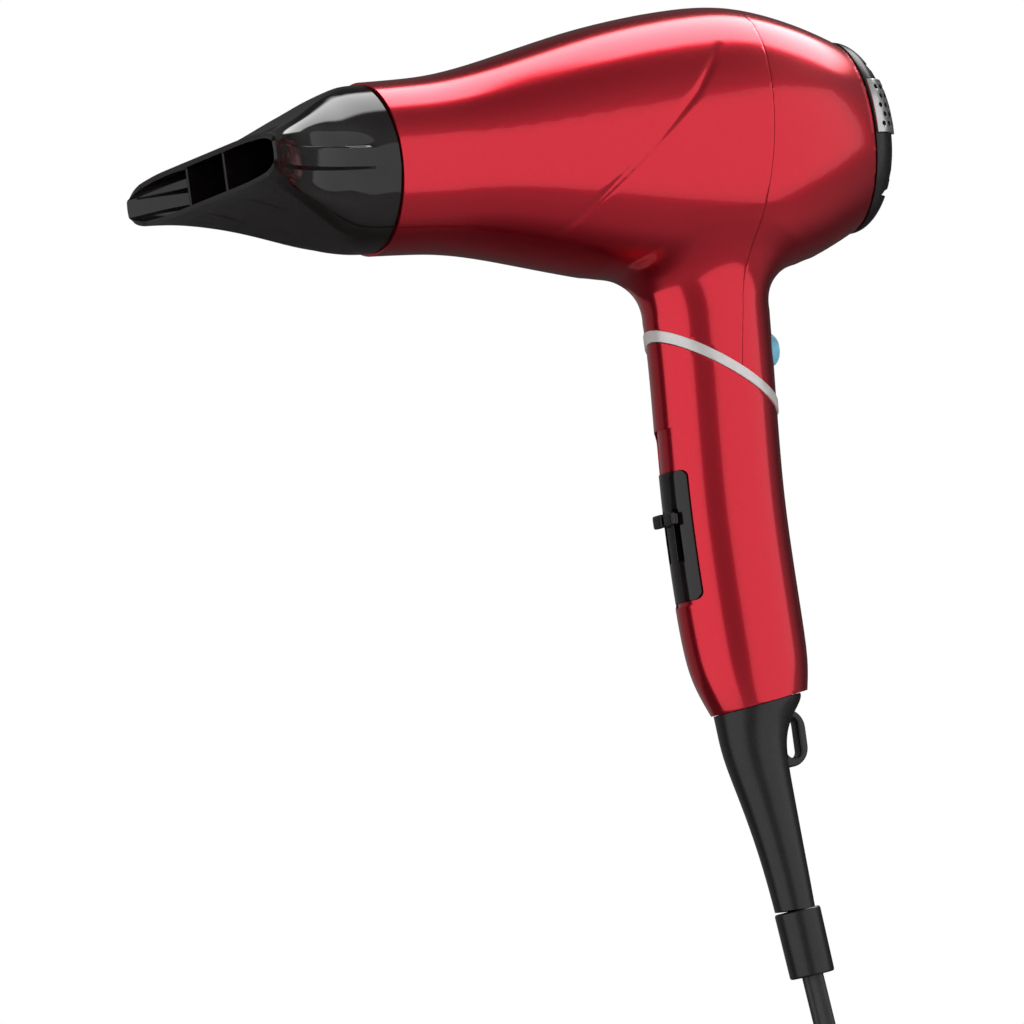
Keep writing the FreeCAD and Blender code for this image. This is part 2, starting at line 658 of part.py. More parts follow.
def make_fan():
    """A pressed-on axial impeller: bell hub with seven pitched blades."""
    body = new_body("fan_impeller")
    outline = new_sketch(body, "XZ_Plane", "hub_outline")
    polygon(outline, [("shaft_radius", "0"), ("3.5", "0"), ("3.5", "6.5"), ("fan_hub - 1.5", "6.5"),
                      ("fan_hub - 1.5", "0"), ("fan_hub", "0"), ("fan_hub", "7.5"),
                      ("fan_hub - 3", "fan_long"), ("shaft_radius", "fan_long")])
    spin = body.newObject("PartDesign::Revolution", "hub_spin")
    spin.Profile = outline
    spin.ReferenceAxis = (outline, ["V_Axis"])
    spin.Angle = 360
    blade = new_sketch(body, "YZ_Plane", "blade_section", offset=mm("fan_hub") - 1.0)
    polygon(blade, [("0 - 7", "0.4"), ("0 - 6", "0.4"), ("1", "5.5"),
                    ("7", "8.2"), ("7", "9.2"), ("0", "6.8")])
    polar(body, pad(body, blade, "fan_radius - fan_hub + 0.2", "blade_pad"), 7, "blades")
    body.Placement = facing_x(mm("fan_x"))
    keep(body, "fan_impeller")


# ---------------------------------------------------------------- rear inlet
def dome(grow, lift=0.0):
    """Half an egg that closes the rear opening, with its flat side forward."""
    _, half_up, half_wide = BODY_SECTIONS[-1]
    ball = Part.makeSphere(1.0, Vector(0, 0, 0), Vector(0, 0, 1), -90, 90, 360)
    matrix = FreeCAD.Matrix()
    matrix.scale(mm("cap_depth") + grow, half_wide + grow - lift, half_up + grow - lift)
    egg = ball.transformGeometry(matrix)
    egg.translate(Vector(mm("stern_x") + mm("cap_gap"), 0, mm("axis_height")))
    return egg.common(half_space(Vector(mm("stern_x") + mm("cap_gap"), 0, 0), Vector(1, 0, 0)))


def stern_oval(grow, low_x, high_x):
    """A short oval column that follows the rear opening."""
    _, half_up, half_wide = BODY_SECTIONS[-1]
    outline = oval(Vector(low_x, 0, mm("axis_height")), Vector(0, 1, 0), Vector(0, 0, 1),
                   half_wide + grow, half_up + grow)
    return Part.Face(outline).extrude(Vector(high_x - low_x, 0, 0))


def make_inlet():
    """The pull-off rear cap with louvres, its perforated silver insert and the lint screen."""
    stern = mm("stern_x")
    middle = mm("axis_height")
    shell = dome(0).cut(dome(-mm("cap_wall")))
    skirt_grow = -mm("wall") - 0.35
    skirt = stern_oval(skirt_grow, stern - mm("cap_rim"), stern + mm("cap_gap") + 1.0)
    skirt = skirt.cut(stern_oval(skirt_grow - 1.4, stern - 10, stern + 10))
    floor = stern_oval(skirt_grow, stern + mm("cap_gap"), stern + mm("cap_gap") + 1.0)
    floor = floor.cut(stern_oval(-mm("cap_wall") - 3.0, stern - 10, stern + 10))
    cap = shell.fuse(skirt).fuse(floor)
    rows = 9
    for index in range(rows):
        z = middle + (index - (rows - 1) / 2) * mm("louvre_pitch") - mm("louvre") / 2
        for side in (-1, 1):
            inner = 1.6 if side > 0 else -15.5
            cap = cap.cut(Part.makeBox(20, 13.9, mm("louvre"), Vector(stern + 4.0, inner, z)))
    sector = Part.makeBox(40, 80, 17.0, Vector(stern + 1.2, -40, middle - 2.3))
    side_zone = sector.cut(Part.makeBox(40, 31.6, 40, Vector(stern, -15.8, middle - 10)))
    pocket = dome(2.0).cut(dome(-0.7)).common(side_zone)
    cap = cap.cut(pocket)
    largest = max(cap.Solids, key=lambda solid: solid.Volume)
    keep(shaped("inlet_cap", largest), "inlet_cap")

    zone = Part.makeBox(40, 80, 16.8, Vector(stern + 1.3, -40, middle - 2.2))
    zone = zone.cut(Part.makeBox(40, 31.8, 40, Vector(stern, -15.9, middle - 10)))
    plate = dome(mm("insert_proud")).cut(dome(-0.65)).common(zone)
    holes = []
    for side in (-1, 1):
        for row in range(5):
            for column in range(3):
                z = middle + 0.8 + row * 2.9
                x = stern + 3.9 + column * 2.5 + (row % 2) * 1.2
                holes.append(Part.makeCylinder(0.75, 12, Vector(x, side * 14, z), Vector(0, side, 0)))
    plate = plate.cut(Part.makeCompound(holes))
    solids = [solid for solid in plate.Solids if solid.Volume > 5]
    keep(shaped("inlet_insert", Part.makeCompound(solids)), "inlet_insert")
    screen = stern_oval(skirt_grow - 1.5, stern - 2.0, stern - 2.0 + mm("mesh_thick"))
    keep(shaped("lint_screen", screen), "lint_screen")


# ---------------------------------------------------------------- switches
def on_knob_face(edge):
    """Whether an edge lies on the outer face of a knob's head."""
    return edge.BoundBox.XMax < -1.5 and edge.BoundBox.XLength < 0.1


def make_switches():
    """A black plate on the front of the grip, with two slide knobs over their switch bodies."""
    plate = handle_loft(-0.25).cut(handle_loft(-mm("plate_wall")))
    plate = plate.common(window(mm("plate_half"), mm("plate_top"), mm("plate_foot")))
    for side in (-1, 1):
        centre = side * mm("slot_side")
        slot = Part.makeBox(30, mm("slot_wide"), mm("slot_top") - mm("slot_foot"),
                            Vector(-35, centre - mm("slot_wide") / 2, mm("slot_foot")))
        plate = plate.cut(slot)
    keep(shaped("switch_plate", plate), "switch_plate")
    for label, side in (("speed_knob", 1), ("heat_knob", -1)):
        body = new_body(label)
        stem = new_sketch(body, "YZ_Plane", label + "_stem")
        rectangle(stem, "knob_stem_half", "1.7")
        pad(body, stem, "8.2", label + "_stem_pad")
        head = new_sketch(body, "YZ_Plane", label + "_head")
        rectangle(head, "knob_wide", "knob_high")
        top = pad(body, head, "knob_proud", label + "_head_pad")
        top.Reversed = True
        round_edges(body, on_knob_face, "0.7", label + "_soft")
        body.Placement = Placement(Vector(-19.75, side * mm("slot_side"), mm("knob_z")), Rotation())
        keep(body, label)
    for label, side in (("speed_switch", 1), ("heat_switch", -1)):
        body = new_body(label)
        case = new_sketch(body, "XY_Plane", label + "_case")
        rectangle(case, "4", "3")
        pad(body, case, "26", label + "_pad")
        body.Placement = Placement(Vector(-7.2, side * mm("slot_side"), mm("knob_z") - 17.5), Rotation())
        keep(body, label)
    button = new_body("cool_button")
    face = new_sketch(button, "XY_Plane", "button_face")
    circle(face, "cool_radius")
    pad(button, face, "6.1", "button_pad")
    round_edges(button, lambda edge: edge.BoundBox.ZMin > 5, "1.2", "button_soft")
    flange = new_sketch(button, "XY_Plane", "button_flange")
    circle(flange, "cool_radius + 0.8")
    skirt = pad(button, flange, "1", "flange_pad")
    skirt.Reversed = True
    plunger = new_sketch(button, "XY_Plane", "button_plunger")
    circle(plunger, "1.6")
    rod = pad(button, plunger, "3.6", "plunger_pad")
    rod.Reversed = True
    button.Placement = facing_x(18.4, z=mm("cool_z"))
    keep(button, "cool_button")
    micro = doc.addObject("Part::Box", "micro_case")
    micro.Length, micro.Width, micro.Height = 7, 8, 14
    micro.Placement = Placement(Vector(5.7, -4, mm("cool_z") - 7), Rotation())
    keep(micro, "cool_switch")


# ---------------------------------------------------------------- boot, loop, clamp and wiring
def rounded_block(back_x, top, foot, wide, radius):
    """A block from inside the boot to back_x whose two rear edges are rounded."""
    cube = Part.makeBox(back_x - 4.0, wide, top - foot, Vector(4.0, -wide / 2, foot))
    across = [edge for edge in cube.Edges if edge.BoundBox.YLength > wide - 1]
    return cube.makeFillet(radius, [edge for edge in across if edge.BoundBox.XMin > back_x - 0.1])


def make_boot():
    """The rubbery end cap that tapers down the lead, with a hanging loop on its back."""
    boot = boot_loft().common(half_space(Vector(2.4, 0, mm("grip_foot_z") - 0.2), foot_normal() * -1))
    plug_in = handle_loft(-mm("grip_wall") - 0.3)
    plug_in = plug_in.common(half_space(Vector(2.4, 0, mm("grip_foot_z") - 0.3), foot_normal()))
    plug_in = plug_in.common(half_space(Vector(2.4, 0, mm("grip_foot_z") + 5), foot_normal() * -1))
    boot = boot.fuse(plug_in)
    outer = rounded_block(mm("loop_x"), mm("loop_top"), mm("loop_foot"), mm("loop_wide"), 6.0)
    thick = mm("loop_thick")
    eye = rounded_block(mm("loop_x") - thick, mm("loop_top") - thick, mm("loop_foot") + thick, 30, 2.0)
    boot = boot.fuse(outer.cut(eye)).removeSplitter()
    keep(shaped("cord_boot", boot), "cord_boot")
    tilt = math.radians(mm("collar_tilt"))
    way = Vector(math.sin(tilt), 0, -math.cos(tilt))
    top = Vector(6.3, 0, mm("boot_foot_z") - 0.1)
    foot = top + way * mm("collar_long")
    wires = [oval(top, Vector(1, 0, 0), Vector(0, 1, 0), 7.1, 6.7),
             oval(foot, Vector(1, 0, 0), Vector(0, 1, 0), 6.9, 6.4)]
    keep(shaped("cord_collar", Part.makeLoft(wires, True, True)), "cord_collar")


def make_clamp():
    """A bar with two screws that grips the lead just inside the handle."""
    body = new_body("cord_clamp")
    bar = new_sketch(body, "XY_Plane", "clamp_bar")
    rectangle(bar, "3", "9")
    pad(body, bar, "5", "clamp_pad")
    holes = new_sketch(body, "YZ_Plane", "clamp_holes")
    circle(holes, "1.6", x="6.4", y="2.5")
    circle(holes, "1.6", x="0 - 6.4", y="2.5")
    pocket_through(body, holes, "clamp_drill")
    body.Placement = Placement(Vector(7.5, 0, -54), Rotation())
    keep(body, "cord_clamp")
    screws = []
    for side in (-1, 1):
        shank = cylinder(f"clamp_shank_{side}", "1.5", "12", facing_x(-1.5, y=side * 6.4, z=-51.5))
        head = cylinder(f"clamp_head_{side}", "2.8", "1.8", facing_x(10.5, y=side * 6.4, z=-51.5))
        screws.append(fuse(f"clamp_screw_{side}", [shank, head]))
    pair = doc.addObject("Part::Compound", "clamp_screw_pair")
    pair.Links = screws
    keep(pair, "clamp_screws")


def make_wiring():
    """Leads from the clamp up to the switches, and on to the motor and the heater."""
    rise = mm("axis_height")
    power = []
    for side in (-1, 1):
        y = side * 3.4
        route = [(3.0, side * 1.6, -56), (2.4, side * 1.8, -44), (-2.0, y, -36), (-5.0, y, -22.6)]
        power.append(wire_run(route, 1.2))
    keep(shaped("power_leads", Part.makeCompound(power)), "power_leads")
    risers = []
    for side in (-1, 1):
        y = side * 7.2
        route = [(-5.0, side * 5.0, 4.2), (-3.0, side * 6.6, 16), (0.0, y, 42), (-3.0, side * 7.6, 62),
                 (-13.0, side * 8.0, rise - 33.0), (-28.0, side * 8.0, rise - 30.0),
                 (-30.2, side * 7.5, rise - 18.0), (-37.5, side * 7.0, rise - 12.0)]
        risers.append(wire_run(route, 1.0))
    keep(shaped("heater_leads", Part.makeCompound(risers)), "heater_leads")


# ---------------------------------------------------------------- mains lead, hank and plug
def hank_outline(half_wide_end, half_waist):
    """The hank's outline in the YZ plane: two round folds drawn in to a waist by the tie."""
    rise = mm("fold_offset")
    lean = math.asin((half_wide_end - half_waist) / rise)
    touch_y, touch_z = half_wide_end * math.cos(lean), rise + half_wide_end * math.sin(lean) * -1
    x, z0 = mm("hank_x"), mm("hank_z")

    def at(y, z):
        return Vector(x, y, z0 + z)
    top = Part.Arc(at(touch_y, touch_z), at(0, rise + half_wide_end), at(-touch_y, touch_z))
    foot = Part.Arc(at(-touch_y, -touch_z), at(0, -rise - half_wide_end), at(touch_y, -touch_z))
    lines = [(at(-touch_y, touch_z), at(-half_waist, 6)), (at(-half_waist, 6), at(-half_waist, -6)),
             (at(-half_waist, -6), at(-touch_y, -touch_z))]
    others = [(at(touch_y, -touch_z), at(half_waist, -6)), (at(half_waist, -6), at(half_waist, 6)),
              (at(half_waist, 6), at(touch_y, touch_z))]
    edges = [top.toShape()] + [Part.LineSegment(*pair).toShape() for pair in lines]
    edges += [foot.toShape()] + [Part.LineSegment(*pair).toShape() for pair in others]
    return Part.Wire(edges)


def tie_block(name, half_x, half_y, half_z):
    """A block round the hank's waist."""
    x, z = mm("hank_x"), mm("hank_z")
    return block(name, (x - half_x, -half_y, z - half_z), (x + half_x, half_y, z + half_z))


def make_lead():
    """The flat twin lead: a free run, a tied hank of the rest, and a tail to the plug."""
    keep(shaped("lead_run", flat_lead("lead_run", LEAD_ROUTE)), "lead_run")
    keep(shaped("lead_tail", flat_lead("lead_tail", TAIL_ROUTE)), "lead_tail")
    thick = (mm("lead_loops")) * mm("hank_pitch") + mm("lead_wide")
    face = Part.Face(hank_outline(mm("fold_radius") + mm("lead_thick") / 2, mm("waist_half")))
    hank = face.extrude(Vector(thick, 0, 0))
    hank.translate(Vector(-thick / 2, 0, 0))
    keep(shaped("lead_hank", hank), "lead_hank")
    outer = tie_block("tie_outer", thick / 2 + 1.2, mm("waist_half") + 1.2, 5)
    inner = tie_block("tie_inner", thick / 2, mm("waist_half"), 8)
    keep(cut("tie_strap", outer, inner), "hank_tie")


def plug_half(label, depth, sign):
    """Half of the plug's case, a rounded shell open towards the other half."""
    body = new_body(label)
    outline = new_sketch(body, "YZ_Plane", label + "_outline")
    rectangle(outline, "20", "30")
    block_pad = pad(body, outline, str(depth), label + "_pad")
    block_pad.Reversed = sign < 0
    doc.recompute()
    round_edges(body, lambda edge: edge.BoundBox.XLength > depth - 0.5, "plug_round", label + "_corners")
    inside = new_sketch(body, "YZ_Plane", label + "_inside")
    rectangle(inside, "17.8", "27.8")
    hollow = body.newObject("PartDesign::Pocket", label + "_hollow")
    hollow.Profile = inside
    hollow.Length = depth - 2.2
    hollow.Reversed = sign > 0
    middle_z = mm("plug_top_z") - mm("plug_long") / 2
    body.Placement = Placement(Vector(mm("plug_x") + sign * 0.05, 0, middle_z), Rotation())
    return body


def make_plug():
    """A wall plug with an earth-leakage trip: two case halves, flat blades, test and reset buttons."""
    middle_z = mm("plug_top_z") - mm("plug_long") / 2
    deep = mm("plug_deep") / 2
    base = plug_half("plug_base", deep, -1)
    cover = plug_half("plug_cover", deep, 1)
    slots = new_sketch(base, "YZ_Plane", "blade_slots", offset=-deep - 1)
    for side in (-1, 1):
        centre = mm("blade_gap") / 2
        rectangle(slots, "0.8", "3.2", x=f"0 + {centre}" if side > 0 else f"0 - {centre}", y="12")
    opening = base.newObject("PartDesign::Pocket", "blade_slot_cut")
    opening.Profile = slots
    opening.Length = 5
    opening.Reversed = True
    keep(base, "plug_base")
    windows = new_sketch(cover, "YZ_Plane", "push_windows")
    for z in ("9", "0 - 5"):
        rectangle(windows, "4.7", "2.7", y=z)
    pocket_through(cover, windows, "push_window_cut")
    keep(cover, "plug_cover")
    blades = []
    for side in (-1, 1):
        leaf = doc.addObject("Part::Box", f"blade_{side}")
        leaf.setExpression("Length", bound("blade_long + 5"))
        leaf.setExpression("Width", bound("blade_leaf"))
        leaf.setExpression("Height", bound("blade_wide"))
        tip_x = mm("plug_x") - deep - mm("blade_long")
        corner_y = side * mm("blade_gap") / 2 - mm("blade_leaf") / 2
        leaf.Placement = Placement(Vector(tip_x, corner_y, middle_z + 12 - mm("blade_wide") / 2), Rotation())
        drill = doc.addObject("Part::Cylinder", f"blade_drill_{side}")
        drill.setExpression("Radius", bound("blade_hole"))
        drill.Height = 6
        hole = Vector(tip_x + mm("blade_hole_in"), side * mm("blade_gap") / 2 - 3, middle_z + 12)
        drill.Placement = Placement(hole, Rotation(Vector(1, 0, 0), -90))
        blades.append(cut(f"drilled_blade_{side}", leaf, drill))
    pair = doc.addObject("Part::Compound", "blade_pair")
    pair.Links = blades
    keep(pair, "plug_blades")
    for label, z in (("reset_button", 9.0), ("test_button", -5.0)):
        body = new_body(label)
        face = new_sketch(body, "YZ_Plane", label + "_face")
        rectangle(face, "4.5", "2.5")
        pad(body, face, "4.6", label + "_pad")
        round_edges(body, lambda edge: edge.BoundBox.XMin > 4, "0.6", label + "_soft")
        flange = new_sketch(body, "YZ_Plane", label + "_flange")
        rectangle(flange, "5.5", "3.5")
        skirt = pad(body, flange, "1", label + "_flange_pad")
        skirt.Reversed = True
        body.Placement = Placement(Vector(mm("plug_x") + deep - 2.4, 0, middle_z + z), Rotation())
        keep(body, label)
    board = new_body("trip_board")
    plate = new_sketch(board, "YZ_Plane", "trip_plate")
    rectangle(plate, "16", "24")
    pad(board, plate, "1.6", "trip_pad")
    relay = new_sketch(board, "YZ_Plane", "relay_block")
    rectangle(relay, "6", "5", y="0 - 15")
    pad(board, relay, "7", "relay_pad")
    board.Placement = Placement(Vector(mm("plug_x") + 0.5, 0, middle_z), Rotation())
    keep(board, "trip_board")
    coil = doc.addObject("Part::Torus", "sensing_ring")
    coil.Radius1, coil.Radius2 = 5.5, 2.2
    coil.Placement = Placement(Vector(mm("plug_x") - 3.0, 0, middle_z - 12), Rotation(Vector(0, 1, 0), 90))
    keep(coil, "sensing_coil")
    gland = [oval(Vector(*TAIL_ROUTE[-1]), Vector(1, 0, 0), Vector(0, 1, 0), 5.4, 3.8),
             oval(Vector(mm("plug_x"), 0, mm("plug_top_z")), Vector(1, 0, 0), Vector(0, 1, 0), 8.0, 6.5)]
    keep(shaped("plug_gland", Part.makeLoft(gland, True, True)), "plug_gland")


make_shells()
make_grip()
make_band()
make_nozzle()
make_outlet_grille()
make_heater()
make_motor_mount()
make_gasket()
make_motor()
make_fan()
make_inlet()
make_switches()
make_boot()
make_clamp()
make_wiring()
make_lead()
make_plug()
doc.recompute()

# ---------------------------------------------------------------- checks and files
for item in doc.Objects:
    if "Invalid" in item.State or "Error" in item.State:
        raise RuntimeError(f"{item.Name} failed: {item.State}")
for piece in SUB_PARTS:
    shape = piece.Shape
    if shape.isNull() or not shape.isValid() or not shape.Solids:
        raise RuntimeError(f"{piece.Label} has no valid solid")
for piece in SUB_PARTS:
    piece.Shape.exportStep(os.path.join("parts", piece.Label + ".step"))
print(f"{len(SUB_PARTS)} sub-parts written")
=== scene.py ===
# %% [markdown]
# # A hand-held hair dryer
# The dryer is a lacquered shell split down a leaning seam, a grip below a silver band, a flat air nozzle
# that plugs into the front, a pull-off air inlet at the back, and a flat twin lead that ends in a wall plug.
# Its engineering model is loaded first as a fixed frame. Every visible piece is then either modelled here,
# where a smooth or sculpted surface matters, or kept from that frame with a finish of its own.

# %% Load the frame
import json
import math

import bmesh
import bpy
from mathutils import Matrix, Vector


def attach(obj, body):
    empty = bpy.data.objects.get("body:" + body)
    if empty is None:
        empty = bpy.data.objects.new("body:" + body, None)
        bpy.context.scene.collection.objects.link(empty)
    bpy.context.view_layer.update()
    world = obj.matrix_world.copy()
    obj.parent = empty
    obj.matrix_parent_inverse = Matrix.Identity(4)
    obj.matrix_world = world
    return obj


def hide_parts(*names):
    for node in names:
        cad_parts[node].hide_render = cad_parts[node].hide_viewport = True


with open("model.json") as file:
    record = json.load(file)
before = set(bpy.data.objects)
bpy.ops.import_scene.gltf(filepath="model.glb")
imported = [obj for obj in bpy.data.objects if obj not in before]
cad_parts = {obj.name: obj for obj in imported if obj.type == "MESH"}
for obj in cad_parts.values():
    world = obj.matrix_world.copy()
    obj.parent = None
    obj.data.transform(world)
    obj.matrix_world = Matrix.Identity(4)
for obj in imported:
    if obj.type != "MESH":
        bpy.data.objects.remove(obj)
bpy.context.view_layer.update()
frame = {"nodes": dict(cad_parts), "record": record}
MM = 0.001
AXIS_Z = 107 * MM
RIM_X, STERN_X = -105 * MM, 57 * MM

# %% [markdown]
# ## The camera
# A long lens from two and a half metres keeps the picture nearly free of perspective, as in a shop picture.
# The camera stands in front and to the left of the dryer, a little below it, and leans to one side, so the
# handle seems to swing out to the right. It is placed by an aim point, two angles and that lean.

# %% Camera
AIM = Vector((-55.8, 29.2, 4.9)) * MM
AZIMUTH, ELEVATION, LEAN = math.radians(-28), math.radians(-5), math.radians(7.7)
CAMERA_REACH = 2.5


def direction(azimuth, elevation):
    """A unit vector: azimuth 0 looks out along -Y and grows towards +X."""
    flat = math.cos(elevation)
    return Vector((math.sin(azimuth) * flat, -math.cos(azimuth) * flat, math.sin(elevation)))


camera_data = bpy.data.cameras.new("camera")
camera_data.lens = 293
camera = bpy.data.objects.new("camera", camera_data)
bpy.context.scene.collection.objects.link(camera)
bpy.context.scene.camera = camera
back_to_camera = direction(AZIMUTH, ELEVATION)
camera.location = AIM + back_to_camera * CAMERA_REACH
upright = back_to_camera.to_track_quat("Z", "Y").to_matrix()
camera.rotation_euler = (upright @ Matrix.Rotation(-LEAN, 3, "Z")).to_euler()
bpy.context.scene.view_settings.view_transform = "Standard"
print("camera at", tuple(round(v, 3) for v in camera.location))

# %% [markdown]
# ## The studio
# Lacquer shows what is round it more than it shows itself, so the light is painted round the dryer as large
# soft cards. A wide card beside the camera makes the broad middle tone, a second one stands far to the left,
# a brighter strip above and behind draws the pale line along the top, and the dim room between the cards
# gives the dark bands. The camera itself sees plain white paper.

# %% World nodes
world = bpy.data.worlds.new("studio")
bpy.context.scene.world = world
world.use_nodes = True
nodes, links = world.node_tree.nodes, world.node_tree.links
nodes.clear()
sight = nodes.new("ShaderNodeTexCoord").outputs["Generated"]


def maths(operation, *values):
    """One sum on numbers or on other nodes' outputs."""
    node = nodes.new("ShaderNodeMath")
    node.operation = operation
    for socket, value in zip(node.inputs, values):
        if isinstance(value, (int, float)):
            socket.default_value = value
        else:
            links.new(value, socket)
    return node.outputs[0]


def toward(way):
    """How far the seen direction runs along a fixed one."""
    node = nodes.new("ShaderNodeVectorMath")
    node.operation = "DOT_PRODUCT"
    node.inputs[1].default_value = way
    links.new(sight, node.inputs[0])
    return node.outputs["Value"]


def soft_step(value, start, end):
    """Rises smoothly from 0 at start to 1 at end."""
    step = nodes.new("ShaderNodeMapRange")
    step.interpolation_type = "SMOOTHSTEP"
    step.inputs["From Min"].default_value = start
    step.inputs["From Max"].default_value = end
    links.new(value, step.inputs["Value"])
    return step.outputs["Result"]


def card(azimuth, elevation, half_wide, half_high, glow, soft=0.03, cut=None):
    """A glowing sheet one way off, sized by the tangents of its half angles; a cut takes a corner off."""
    turn, rise = math.radians(azimuth), math.radians(elevation)
    ahead = toward(direction(turn, rise))
    sideways = maths("DIVIDE", toward((math.cos(turn), math.sin(turn), 0)), ahead)
    upwards = maths("DIVIDE", toward(direction(turn, rise + math.pi / 2)), ahead)
    mask = soft_step(maths("ABSOLUTE", sideways), half_wide + soft, half_wide - soft)
    mask = maths("MULTIPLY", mask, soft_step(maths("ABSOLUTE", upwards), half_high + soft, half_high - soft))
    mask = maths("MULTIPLY", mask, maths("GREATER_THAN", ahead, 0.0))
    if cut is not None:
        lean = maths("ADD", maths("MULTIPLY", sideways, cut[0]), maths("MULTIPLY", upwards, cut[1]))
        mask = maths("MULTIPLY", mask, soft_step(lean, cut[2] + soft, cut[2] - soft))
    return maths("MULTIPLY", mask, glow)


# %% Cards and room
room = nodes.new("ShaderNodeValToRGB")
ROOM_TONES = [(-0.98, 0.12), (-0.9, 0.32), (-0.7, 0.4), (-0.25, 0.3), (0.1, 0.27), (0.55, 0.44), (0.72, 0.3),
              (0.9, 0.19)]
for index, (height, tone) in enumerate(ROOM_TONES):
    stop = room.color_ramp.elements[0] if index == 0 else room.color_ramp.elements.new((height + 1) / 2)
    stop.position = (height + 1) / 2
    stop.color = (tone, tone, tone, 1)
room.color_ramp.elements[-1].color = (0.19, 0.19, 0.19, 1)
links.new(maths("MULTIPLY_ADD", toward((0, 0, 1)), 0.5, 0.5), room.inputs["Fac"])
front_side = maths("MULTIPLY_ADD", soft_step(toward((0, -1, 0)), -0.3, 0.3), 0.82, 0.18)
glow = maths("MULTIPLY", room.outputs["Color"], front_side)
CARDS = [
    card(35.5, -4, 0.824, 0.67, glow=1.0, cut=(0.71, -0.704, 0.587)),
    card(-71.5, 2, 0.71, 0.9, glow=1.05, soft=0.05),
    card(107, 55, 0.30, 0.42, glow=4.5, soft=0.06),
    card(200, 12, 0.7, 0.6, glow=0.22, soft=0.1),
]
for sheet in CARDS:
    glow = maths("MAXIMUM", glow, sheet)
lit, paper = nodes.new("ShaderNodeBackground"), nodes.new("ShaderNodeBackground")
links.new(glow, lit.inputs["Color"])
paper.inputs["Color"].default_value = (1, 1, 1, 1)
choose = nodes.new("ShaderNodeMixShader")
links.new(nodes.new("ShaderNodeLightPath").outputs["Is Camera Ray"], choose.inputs[0])
links.new(lit.outputs[0], choose.inputs[1])
links.new(paper.outputs[0], choose.inputs[2])
links.new(choose.outputs[0], nodes.new("ShaderNodeOutputWorld").inputs["Surface"])
print(len(CARDS), "cards round the dryer")

# %% [markdown]
# ## Tools for the bench
# The next helpers are the handful of moves that every piece uses: clear the selection, take one piece up,
# grow a column ring by ring, cut it with a plane, and finish it with a modifier that is applied at once.

# %% Selecting and finishing


def start_clean():
    """Leaves edit mode and deselects everything, the loaded frame included."""
    if bpy.context.object is not None and bpy.context.object.mode != "OBJECT":
        bpy.ops.object.mode_set(mode="OBJECT")
    bpy.ops.object.select_all(action="DESELECT")


def take_up(piece):
    """Makes one piece the only selected object."""
    start_clean()
    bpy.context.view_layer.objects.active = piece
    piece.select_set(True)
    return piece


def named(name):
    """Names the object that was just added and gives its place to its mesh."""
    piece = bpy.context.object
    piece.name = name
    piece.data.name = name
    bpy.ops.object.transform_apply(location=True, rotation=True, scale=True)
    return piece


def apply_modifier(piece, kind, **settings):
    """Adds a modifier, sets it and applies it."""
    take_up(piece)
    modifier = piece.modifiers.new(kind.lower(), kind)
    for key, value in settings.items():
        setattr(modifier, key, value)
    bpy.ops.object.modifier_apply(modifier=modifier.name)
    return piece


def soften(piece, width_mm, segments, angle):
    """Rounds every edge that is sharper than an angle."""
    return apply_modifier(piece, "BEVEL", width=width_mm * MM, segments=segments, limit_method="ANGLE",
                          angle_limit=math.radians(angle))


def smooth(piece, angle=35):
    """Smooth shading that still breaks at real edges."""
    take_up(piece)
    bpy.ops.object.shade_smooth_by_angle(angle=math.radians(angle))
    return piece


def copy_of(piece, name):
    """A copy with a mesh of its own."""
    twin = piece.copy()
    twin.data = piece.data.copy()
    bpy.context.scene.collection.objects.link(twin)
    twin.name = name
    twin.data.name = name
    return twin


def discard(*pieces):
    for piece in pieces:
        bpy.data.objects.remove(piece, do_unlink=True)


def cut_with(piece, tool, keep_inside=False):
    """Takes the tool away from the piece, or keeps only what lies in it, and discards the tool."""
    apply_modifier(piece, "BOOLEAN", object=tool, solver="EXACT",
                   operation="INTERSECT" if keep_inside else "DIFFERENCE")
    discard(tool)
    return piece


def join(first, *others):
    start_clean()
    for other in (first, *others):
        other.select_set(True)
    bpy.context.view_layer.objects.active = first
    bpy.ops.object.join()
    return first


# %% Edit-mode moves


def edit(piece, everything=True):
    """Opens a piece in edit mode with all or none of it selected."""
    take_up(piece)
    bpy.ops.object.mode_set(mode="EDIT")
    bpy.ops.mesh.select_all(action="SELECT" if everything else "DESELECT")


def outwards(piece):
    """Turns every face outwards."""
    edit(piece)
    bpy.ops.mesh.remove_doubles(threshold=0.00002)
    bpy.ops.mesh.normals_make_consistent(inside=False)
    bpy.ops.object.mode_set(mode="OBJECT")
    return piece


def slice_off(piece, point, normal, below_mm=None):
    """Cuts with a plane and throws away the side that the normal points to, if asked only below a height."""
    edit(piece, everything=below_mm is None)
    if below_mm is not None:
        bpy.ops.mesh.select_mode(type="VERT")
        mesh = bmesh.from_edit_mesh(piece.data)
        for vertex in mesh.verts:
            vertex.select_set(vertex.co.z < below_mm * MM)
        mesh.select_flush_mode()
        bmesh.update_edit_mesh(piece.data)
    bpy.ops.mesh.bisect(plane_co=point, plane_no=normal, clear_outer=True)
    bpy.ops.object.mode_set(mode="OBJECT")
    return piece


